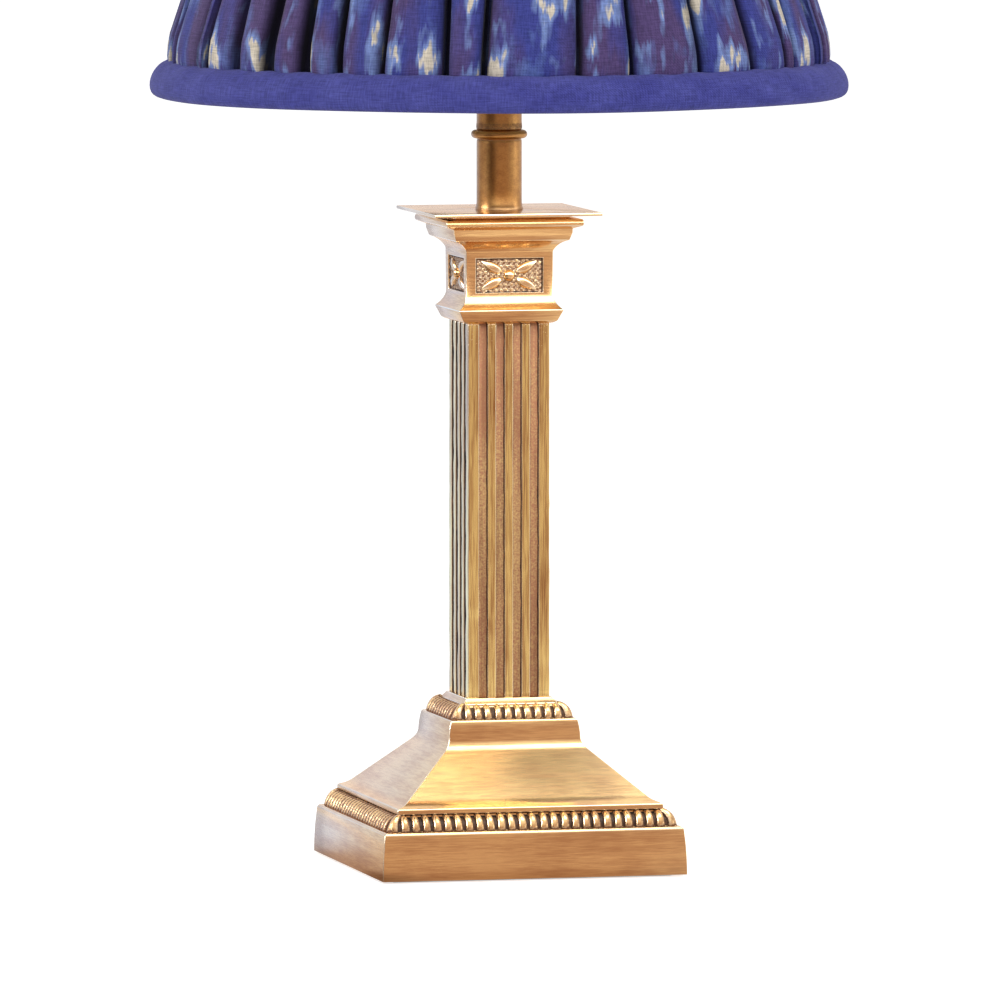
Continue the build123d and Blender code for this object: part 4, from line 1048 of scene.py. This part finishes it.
def wrap_cloth(name, columns, rows, point, uv, skip=None):
    """A grid of cloth wrapped round the lamp's axis, with its own flat coordinates in metres."""
    vertices = [point(column, row) for row in range(rows + 1) for column in range(columns)]
    faces = []
    places = []
    for row in range(rows):
        for column in range(columns):
            beside = (column + 1) % columns
            corners = (
                (column, row, row * columns + column),
                (column + 1, row, row * columns + beside),
                (column + 1, row + 1, (row + 1) * columns + beside),
                (column, row + 1, (row + 1) * columns + column),
            )
            middle = sum((Vector(vertices[corner[2]]) for corner in corners), Vector()) / 4
            if skip and skip(middle):
                continue
            faces.append([corner[2] for corner in corners])
            places += [uv(corner[0], corner[1]) for corner in corners]
    mesh = bpy.data.meshes.new(name)
    mesh.from_pydata([[value * mm for value in vertex] for vertex in vertices], [], faces)
    layer = mesh.uv_layers.new(name="cloth")
    for spot, place_uv in zip(layer.data, places):
        spot.uv = place_uv
    mesh.shade_smooth()
    piece = bpy.data.objects.new(name, mesh)
    bpy.context.scene.collection.objects.link(piece)
    return piece


def thicken(piece, thickness):
    """Gives cloth its thickness, inwards."""
    wall = piece.modifiers.new("cloth", "SOLIDIFY")
    wall.thickness = thickness * mm
    wall.offset = -1.0
    apply_all(piece)


def gather_folds(count, rng):
    """For each fold: where it starts round the shade, and how open, deep and tilted it is."""
    widths = [rng.choice((0.4, 0.65, 1.0, 1.4, 1.9)) * rng.uniform(0.85, 1.15) for _ in range(count)]
    total = sum(widths)
    folds = []
    start = 0.0
    for width in widths:
        folds.append(
            {
                "start": start,
                "gap": rng.choice((0.06, 0.1, 0.16, 0.36)) / max(0.7, width),
                "shaded_side": rng.uniform(0.05, 0.5),
                "over": rng.uniform(0.0, 0.035),
                "depth": rng.uniform(0.85, 1.0),
                "tilt": rng.uniform(-0.9, 0.9),
                "phase": rng.uniform(0, 2 * math.pi),
                "sway": rng.uniform(0.2, 1.0) * 0.004,
            }
        )
        start += width / total
    return folds


cover_rng = random.Random(23)
folds = gather_folds(COVER["folds"], cover_rng)


def crest_radius(height):
    """The outer line of the folds: they bell out over the lower binding and tighten at the top."""
    levels = ((228.0, 94.0), (233.2, 95.6), (240.0, 95.2), (250.0, 91.9), (363.5, 53.6), (370.0, 51.0))
    for (low, low_r), (high, high_r) in zip(levels, levels[1:]):
        if height <= high:
            share = (height - low) / (high - low)
            return low_r + (high_r - low_r) * share
    return levels[-1][1]


def fold_section(fold):
    """A fold's outline as (share of its width, share of its depth) points, from crease to crease."""
    half = fold["gap"] / 2
    over = fold["over"]
    wall = ((0.012, 0.8), (0.03 - over, 0.42), (0.055 - over, 0.12), (0.13, 0.0))
    rising = [(half + share, depth) for share, depth in wall]
    falling = [(1 - half - share, depth) for share, depth in reversed(wall)]
    crown = [(0.36, -0.05), (0.5, 0.0), (0.64, -0.04)]
    return [(0.0, 1.0), (half, 1.0), *rising, *crown, *falling, (1 - half, 1.0)]


sections = [fold_section(fold) for fold in folds]
PER_FOLD = len(sections[0])


def fold_start(index, up):
    """Where a crease runs at a height: it sways a little and leans with its neighbours."""
    fold = folds[index % COVER["folds"]]
    turn = fold["start"] + index // COVER["folds"]
    sway = fold["sway"] * math.sin(2.6 * up + fold["phase"]) * min(1.0, 4 * up)
    return turn + sway + 0.004 * math.sin(2 * math.pi * fold["start"] * 3) * up


def cover_point(column, row):
    """Where the cloth runs, in mm: out over each fold and in to its crease."""
    index = column // PER_FOLD % COVER["folds"]
    fold = folds[index]
    share, depth = sections[index][column % PER_FOLD]
    up = row / COVER["rows"]
    height = COVER["low"] + (COVER["high"] - COVER["low"]) * up
    start = fold_start(index, up)
    angle = 2 * math.pi * (start + (fold_start(index + 1, up) - start) * share)
    crest = crest_radius(height) + fold["tilt"] * (share - 0.5) * (1 - max(0.0, depth))
    crest += 0.25 * math.sin(5 * up + fold["phase"] + 4 * share) * (1 - max(0.0, depth))
    floor = ring_radius(height) + 2.1
    radius = crest - (crest - floor) * fold["depth"] * depth
    return (radius * math.cos(angle), radius * math.sin(angle), height)


def cloth_run(row):
    """Length of cloth from the first crease to each column, in metres, along one row."""
    run = [0.0]
    total = COVER["folds"] * PER_FOLD
    for column in range(total):
        here = Vector(cover_point(column, row))
        run.append(run[-1] + (Vector(cover_point((column + 1) % total, row)) - here).length * mm)
    return run


strip_run = cloth_run(STRIP_ROW)


def cover_uv(column, row):
    """The same place on the flat strip, in metres."""
    return (strip_run[column], row / COVER["rows"] * STRIP_HEIGHT)


def make_weave():
    """Shared effect: plain weave with thick and thin yarns, from flat cloth coordinates in metres."""
    group, given, out = node_group(
        "plain_weave",
        [("Cloth", "NodeSocketVector", None), ("Threads per metre", "NodeSocketFloat", 2200.0)],
        [("Height", "NodeSocketFloat"), ("Slub", "NodeSocketFloat")],
    )
    parts = add_node(group, "ShaderNodeSeparateXYZ", {"Vector": given.outputs["Cloth"]})
    around = maths(group, "MULTIPLY", parts.outputs["X"], given.outputs["Threads per metre"])
    upward = maths(group, "MULTIPLY", parts.outputs["Y"], given.outputs["Threads per metre"])
    warp = maths(group, "SINE", maths(group, "MULTIPLY", around, math.pi))
    weft = maths(group, "SINE", maths(group, "MULTIPLY", upward, math.pi))
    crossing = maths(group, "MULTIPLY", warp, weft)
    height = maths(group, "ADD", maths(group, "MULTIPLY", crossing, 0.5), 0.5)
    slub_up = scaled_noise(group, given.outputs["Cloth"], 2400.0, (1.0, 0.1, 1), 2.0)
    slub_across = scaled_noise(group, given.outputs["Cloth"], 2400.0, (0.1, 1.0, 1), 2.0)
    slub = maths(group, "MULTIPLY", maths(group, "ADD", slub_up, slub_across), 0.5)
    lumpy = maths(group, "ADD", maths(group, "MULTIPLY", height, 0.5), maths(group, "MULTIPLY", slub, 0.9))
    group.links.new(lumpy, out.inputs["Height"])
    group.links.new(slub, out.inputs["Slub"])
    return group


plain_weave = make_weave()


def woven_cloth(name, colour_of, bump=0.6, sheen=0.08):
    """A woven cloth's material: the weave's height and slubs over a colour made from flat coordinates."""
    material, tree, principled = shader(name, roughness=0.88, sheen=sheen)
    principled.inputs["Sheen Roughness"].default_value = 0.45
    principled.inputs["Specular IOR Level"].default_value = 0.2
    flat = add_node(tree, "ShaderNodeUVMap", uv_map="cloth").outputs["UV"]
    weave = add_node(tree, "ShaderNodeGroup", node_tree=plain_weave)
    tree.links.new(flat, weave.inputs["Cloth"])
    colour = colour_of(tree, flat)
    thread = ramp(tree, weave.outputs["Slub"], [(0.38, 0.7), (0.62, 1.2)])
    colour = mix_colour(tree, 1.0, colour, thread, blend="MULTIPLY")
    # Painted shade: shut-in places, such as the cover's creases, turn near black.
    shut = add_node(tree, "ShaderNodeAttribute", attribute_name="hollow").outputs["Fac"]
    painted_shade = ramp(tree, shut, [(0.1, 0.0), (0.7, 0.96)])
    colour = mix_colour(tree, painted_shade, colour, (0.003, 0.003, 0.008, 1))
    tree.links.new(colour, principled.inputs["Base Color"])
    bumped = add_node(
        tree, "ShaderNodeBump", {"Height": weave.outputs["Height"], "Strength": bump, "Distance": 0.0002}
    )
    tree.links.new(bumped.outputs["Normal"], principled.inputs["Normal"])
    return material


def ikat_colour(tree, flat):
    """Blotches whose ends are feathered because each thread took the dye at a slightly other height."""
    parts = add_node(tree, "ShaderNodeSeparateXYZ", {"Vector": flat})
    thread = maths(tree, "FLOOR", maths(tree, "MULTIPLY", parts.outputs["X"], 1900.0))
    slip = add_node(tree, "ShaderNodeTexWhiteNoise", {"W": thread}, noise_dimensions="1D").outputs["Value"]
    bundle = scaled_noise(tree, flat, 260.0, (1.0, 0.02, 1), 2.0)
    slipped = maths(tree, "MULTIPLY", slip, 0.0022)
    shifted = maths(tree, "ADD", slipped, maths(tree, "MULTIPLY", bundle, 0.009))
    upward = maths(tree, "ADD", parts.outputs["Y"], shifted)
    dyed = add_node(tree, "ShaderNodeCombineXYZ", {"X": parts.outputs["X"], "Y": upward})
    dyed = dyed.outputs["Vector"]
    broad = scaled_noise(tree, dyed, 62.0, (1.0, 0.35, 1), 2.0)
    blue = scaled_noise(tree, dyed, 130.0, (1.0, 0.42, 1), 3.0)
    pale = scaled_noise(tree, dyed, 120.0, (1.1, 0.42, 1), 2.0)
    rows = maths(tree, "SINE", maths(tree, "MULTIPLY", upward, 2 * math.pi / 0.034))
    pale = maths(tree, "ADD", pale, maths(tree, "MULTIPLY", rows, 0.025))
    indigo = mix_colour(
        tree, ramp(tree, broad, [(0.42, 0.0), (0.56, 1.0)]), (0.052, 0.062, 0.29, 1), (0.095, 0.062, 0.18, 1)
    )
    lighter = mix_colour(tree, ramp(tree, blue, [(0.54, 0.0), (0.68, 0.7)]), indigo, (0.13, 0.20, 0.50, 1))
    halo = mix_colour(tree, ramp(tree, pale, [(0.54, 0.0), (0.61, 1.0)]), lighter, (0.20, 0.28, 0.58, 1))
    return mix_colour(tree, ramp(tree, pale, [(0.625, 0.0), (0.65, 1.0)]), halo, (0.72, 0.64, 0.52, 1))


cover = wrap_cloth(
    "cover_dressed", COVER["folds"] * PER_FOLD, COVER["rows"], cover_point, cover_uv
)
# Painted shade in the creases: shut-in places darkened, and a set shade across each fold, heavier on one
# side, with narrow gaps held short of black.
hollows(cover, reach=6.0)
for index, mark in enumerate(cover.data.attributes["hollow"].data):
    column = index % (COVER["folds"] * PER_FOLD)
    fold = folds[column // PER_FOLD]
    shaded_side = fold["shaded_side"] if column % PER_FOLD > PER_FOLD // 2 else 0.5 * fold["shaded_side"]
    shadow = CREASE_SHADE[column % PER_FOLD]
    if shadow <= DEEP_SHADE:
        shadow *= 0.7 + shaded_side
    darkest = NARROW_GAP["darkest"] if fold["gap"] < NARROW_GAP["below"] else 1.0
    mark.value = min(darkest, max(mark.value, shadow))
thicken(cover, COVER["thick"])
ikat_linen = woven_cloth("ikat_linen", ikat_colour)
dress(cover, ikat_linen, "shade", "ikat_cloth", "shade_cover")


# --- Shade lining ---
# Plain off-white cotton, stretched tight inside the frame from ring to ring. It draws in a little
# between the struts and is slit on two sides for the pivot pins.
LINING = {"low": 226.7, "high": 369.3, "columns": 240, "rows": 80, "slit": 3.4, "pivot_z": 300.0}
LINING_CLOTH = {"mean_r": 0.068, "slant": 0.15, "thick": 0.5}


def lining_point(column, row):
    """Where the lining runs, in mm: just inside the frame, drawn in between the struts."""
    angle = 2 * math.pi * column / LINING["columns"]
    up = row / LINING["rows"]
    height = LINING["low"] + (LINING["high"] - LINING["low"]) * up
    slack = 0.7 * math.sin(math.pi * up) * (0.5 - 0.5 * math.cos(6 * angle + math.pi))
    radius = ring_radius(height) - 1.85 - slack
    return (radius * math.cos(angle), radius * math.sin(angle), height)


def lining_uv(column, row):
    """The same place on the flat cloth, in metres."""
    return (
        column / LINING["columns"] * 2 * math.pi * LINING_CLOTH["mean_r"],
        row / LINING["rows"] * LINING_CLOTH["slant"],
    )


def in_slit(middle):
    """Whether a face lies in one of the openings for the pivot pins."""
    return math.hypot(middle.y, middle.z - LINING["pivot_z"]) < LINING["slit"]


def lining_colour(tree, flat):
    cloudy = scaled_noise(tree, flat, 60.0, (1, 1, 1), 3.0)
    return mix_colour(tree, cloudy, (0.80, 0.77, 0.70, 1), (0.70, 0.66, 0.58, 1))


lining = wrap_cloth(
    "lining_dressed", LINING["columns"], LINING["rows"], lining_point, lining_uv, skip=in_slit
)
thicken(lining, LINING_CLOTH["thick"])
cotton = woven_cloth("cotton_lining", lining_colour, bump=0.3, sheen=0.2)
dress(lining, cotton, "shade", "lining_cloth", "shade_lining")


# --- Shade bindings ---
# Bias strips of plain indigo linen rolled over the rings and sewn: a full roll below, a small one
# above. Their upper edges pucker slightly where the gathered folds are caught in.
BINDINGS = (
    {
        "node": "bottom_binding",
        "line": ((93.2, 226.8), (93.4, 229.6), (92.6, 231.6), (92.4, 233.0), (94.4, 233.8), (96.6, 233.3))
        + ((98.6, 232.0), (100.2, 229.9), (101.0, 227.2), (100.6, 224.7), (98.8, 223.4), (95.4, 223.2))
        + ((92.0, 223.4), (89.9, 223.9), (89.3, 225.4), (90.2, 226.6)),
        "flat": (0.62, 0.044),
        "columns": 480,
        "caught_z": 233.8,
    },
    {
        "node": "top_binding",
        "line": ((46.6, 369.4), (46.8, 366.4), (47.6, 364.0), (50.2, 363.2), (52.8, 363.6), (53.6, 366.4))
        + ((53.0, 369.6), (51.0, 371.9), (48.0, 372.6), (44.0, 372.6), (41.4, 372.2), (41.0, 370.8))
        + ((42.0, 369.5),),
        "flat": (0.31, 0.036),
        "columns": 300,
        "caught_z": 363.4,
    },
)
BINDING_ROWS = 40
BINDING_THICK = 0.5


def smooth_line(line, count):
    """Points along a smooth curve through a few points, evenly by number."""
    points = []
    last = len(line) - 1
    for step in range(count + 1):
        index = min(int(step / count * last), last - 1)
        share = step / count * last - index
        before, start, end, after = (
            line[min(max(index + shift, 0), last)] for shift in (-1, 0, 1, 2)
        )
        points.append(
            tuple(
                0.5
                * (
                    2 * b
                    + (c - a) * share
                    + (2 * a - 5 * b + 4 * c - d) * share**2
                    + (3 * b - a - 3 * c + d) * share**3
                )
                for a, b, c, d in zip(before, start, end, after)
            )
        )
    return points


def binding_colour(tree, flat):
    faded = scaled_noise(tree, flat, 90.0, (1.0, 1.6, 1), 4.0)
    share = ramp(tree, faded, [(0.3, 0.0), (0.7, 1.0)])
    return mix_colour(tree, share, (0.055, 0.058, 0.29, 1), (0.082, 0.088, 0.36, 1))


def rolled_binding(node, line, flat, columns, caught_z):
    """A strip rolled over a ring: its line turned about the axis, and puckered where it holds the folds."""
    outline = smooth_line(line, BINDING_ROWS)

    def binding_point(column, row):
        radius, height = outline[row]
        angle = 2 * math.pi * column / columns
        near_folds = max(0.0, 1 - abs(height - caught_z) / 2.5)
        pucker = 0.16 * near_folds * math.sin(46 * angle + 2.5 * math.sin(5 * angle))
        roll = 0.12 * math.sin(7 * angle + 1) + 0.08 * math.sin(17 * angle)
        return (
            (radius + pucker + roll) * math.cos(angle),
            (radius + pucker + roll) * math.sin(angle),
            height + 0.14 * near_folds * math.sin(46 * angle) + 0.1 * math.sin(5 * angle),
        )

    def binding_uv(column, row):
        return (column / columns * flat[0], row / BINDING_ROWS * flat[1])

    return wrap_cloth(f"{node}_dressed", columns, BINDING_ROWS, binding_point, binding_uv)


binding_linen = woven_cloth("binding_linen", binding_colour)
for binding in BINDINGS:
    rolled = rolled_binding(**binding)
    rolled.data.flip_normals()
    thicken(rolled, BINDING_THICK)
    dress(rolled, binding_linen, "shade", "binding_cloth", binding["node"])


# --- Studio ---
# A white product shot: the camera sees a white floor and sky, and glossy rays see a plain room of
# soft tones and a lit pool on the floor. From below the floor is clear, so that the foot shows.
POOL = [(0.24, 0.0), (0.29, 1.0), (0.38, 1.0), (0.46, 0.0)]
EYE_DROP = (0, 0, -0.02)
FILL = {"width": 0.2, "depth": 0.085, "x": 0.035, "y": -0.0695, "z": 0.195}
deselect()
bpy.ops.mesh.primitive_plane_add(size=12.0, location=(0, 0, -0.1 * mm))
floor = bpy.context.object
floor.name = "floor"


def make_room():
    """Tones by direction: warm front, dark front left, cool pale back, dim floor, bright right and top."""
    group, given, out = node_group(
        "room", [("Way", "NodeSocketVector", None)], [("Color", "NodeSocketColor")]
    )
    way = add_node(group, "ShaderNodeVectorMath", {0: given.outputs["Way"]}, operation="NORMALIZE")
    colour = (0.62, 0.53, 0.52, 1)
    for towards, start, end, tone in (
        ((0.0, -1.0, 0.0), 0.55, 0.9, (0.62, 0.43, 0.34, 1)),
        ((-0.85, -0.52, 0.0), 0.84, 0.95, (0.11, 0.065, 0.045, 1)),
        ((0.0, 1.0, 0.0), 0.6, 0.9, (0.77, 0.90, 1.2, 1)),
        ((0.35, 0.93, 0.1), 0.9, 0.97, (0.98, 0.90, 0.88, 1)),
        ((1.0, 0.0, 0.0), 0.55, 0.9, (1.08, 0.98, 0.86, 1)),
        ((0.0, 0.0, -1.0), 0.15, 0.55, (0.36, 0.20, 0.12, 1)),
        ((0.0, 0.0, 1.0), 0.35, 0.65, (1.2, 1.16, 1.08, 1)),
    ):
        faced = add_node(
            group, "ShaderNodeVectorMath", {0: way.outputs[0], 1: towards}, operation="DOT_PRODUCT"
        )
        share = ramp(group, faced.outputs["Value"], [(start, 0.0), (end, 1.0)])
        colour = mix_colour(group, share, colour, tone)
    group.links.new(colour, out.inputs["Color"])
    return group


room = make_room()
floor_material = bpy.data.materials.new("white_floor")
floor_material.use_nodes = True
floor_tree = floor_material.node_tree
floor_tree.nodes.clear()
floor_out = floor_tree.nodes.new("ShaderNodeOutputMaterial")
floor_paths = add_node(floor_tree, "ShaderNodeLightPath")
matt = add_node(floor_tree, "ShaderNodeBsdfDiffuse", {"Color": (0.8, 0.8, 0.8, 1)})
lift = add_node(floor_tree, "ShaderNodeEmission", {"Color": (1, 1, 1, 1), "Strength": 0.7})
glow = add_node(floor_tree, "ShaderNodeAddShader")
floor_tree.links.new(matt.outputs[0], glow.inputs[0])
floor_tree.links.new(lift.outputs[0], glow.inputs[1])
floor_seen = add_node(floor_tree, "ShaderNodeMixShader", {"Fac": floor_paths.outputs["Is Camera Ray"]})
floor_tree.links.new(matt.outputs[0], floor_seen.inputs[1])
floor_tree.links.new(glow.outputs[0], floor_seen.inputs[2])
floor_spot = add_node(floor_tree, "ShaderNodeTexCoord").outputs["Object"]
floor_place = add_node(
    floor_tree, "ShaderNodeVectorMath", {0: floor_spot, 1: EYE_DROP}, operation="ADD"
).outputs["Vector"]
floor_room = add_node(floor_tree, "ShaderNodeGroup", node_tree=room)
floor_tree.links.new(floor_place, floor_room.inputs["Way"])
away = add_node(floor_tree, "ShaderNodeVectorMath", {0: floor_spot}, operation="LENGTH").outputs["Value"]
lit_pool = ramp(floor_tree, away, POOL)
pool_colour = mix_colour(floor_tree, lit_pool, floor_room.outputs["Color"], (1.15, 1.02, 0.88, 1))
mirrored = add_node(floor_tree, "ShaderNodeEmission", {"Color": pool_colour})
floor_mix = add_node(floor_tree, "ShaderNodeMixShader", {"Fac": floor_paths.outputs["Is Glossy Ray"]})
floor_tree.links.new(floor_seen.outputs[0], floor_mix.inputs[1])
floor_tree.links.new(mirrored.outputs[0], floor_mix.inputs[2])
clear = add_node(floor_tree, "ShaderNodeBsdfTransparent")
below = add_node(floor_tree, "ShaderNodeNewGeometry").outputs["Backfacing"]
floor_side = add_node(floor_tree, "ShaderNodeMixShader", {"Fac": below})
floor_tree.links.new(floor_mix.outputs[0], floor_side.inputs[1])
floor_tree.links.new(clear.outputs[0], floor_side.inputs[2])
floor_tree.links.new(floor_side.outputs[0], floor_out.inputs["Surface"])
floor.data.materials.append(floor_material)

world = bpy.data.worlds.new("studio")
bpy.context.scene.world = world
world.use_nodes = True
sky = world.node_tree
sky.nodes.clear()
sky_out = sky.nodes.new("ShaderNodeOutputWorld")
paths = add_node(sky, "ShaderNodeLightPath")
sky_room = add_node(sky, "ShaderNodeGroup", node_tree=room)
sky.links.new(add_node(sky, "ShaderNodeTexCoord").outputs["Generated"], sky_room.inputs["Way"])
glossy = add_node(sky, "ShaderNodeBackground", {"Strength": 1.0, "Color": sky_room.outputs["Color"]})
even = add_node(sky, "ShaderNodeBackground", {"Strength": 0.46, "Color": (1, 0.99, 0.98, 1)})
pure = add_node(sky, "ShaderNodeBackground", {"Strength": 1.0, "Color": (1, 1, 1, 1)})
reflected = add_node(sky, "ShaderNodeMixShader", {"Fac": paths.outputs["Is Glossy Ray"]})
sky.links.new(even.outputs[0], reflected.inputs[1])
sky.links.new(glossy.outputs[0], reflected.inputs[2])
direct = maths(sky, "MAXIMUM", paths.outputs["Is Camera Ray"], paths.outputs["Is Transmission Ray"])
shown = add_node(sky, "ShaderNodeMixShader", {"Fac": direct})
sky.links.new(reflected.outputs[0], shown.inputs[1])
sky.links.new(pure.outputs[0], shown.inputs[2])
sky.links.new(shown.outputs[0], sky_out.inputs["Surface"])


def soft_light(name, power, size, spot, aim, colour=(1, 1, 1), mirrored=True, lit=True):
    """A square softbox turned to face an aim. It can be left out of reflections, or of matt light."""
    data = bpy.data.lights.new(name, "AREA")
    data.energy = power
    data.size = size
    data.color = colour
    lamp = bpy.data.objects.new(name, data)
    bpy.context.scene.collection.objects.link(lamp)
    lamp.location = spot
    lamp.rotation_euler = (Vector(aim) - Vector(spot)).to_track_quat("-Z", "Y").to_euler()
    lamp.visible_camera = False
    lamp.visible_glossy = mirrored
    lamp.visible_diffuse = lit
    return data


soft_light("left_softbox", 9.0, 1.2, (-2.4, -0.4, 1.0), (0, 0, 0.15))
soft_light("top_softbox", 9.0, 1.6, (0.2, -0.3, 2.4), (0, 0, 0.1))
soft_light("right_strip", 4.0, 0.7, (2.4, -0.5, 0.6), (0, 0, 0.15))
soft_light("left_gleam", 50.0, 1.0, (-2.1, 0.12, 1.15), (0, 0, 0.05), lit=False)
soft_light("front_key", 26.0, 1.0, (-2.2, -2.4, 1.1), (0, 0, 0.25), mirrored=False)
soft_light("right_wash", 14.0, 0.8, (2.0, -1.5, 0.8), (0, 0, 0.3), mirrored=False)
fill = soft_light(
    "under_shade_fill",
    0.2,
    FILL["width"],
    (FILL["x"], FILL["y"], FILL["z"]),
    (FILL["x"], FILL["y"], 0),
    (0.98, 1.04, 1.02),
)
fill.shape = "RECTANGLE"
fill.size_y = FILL["depth"]

bpy.context.scene.view_settings.view_transform = "Standard"
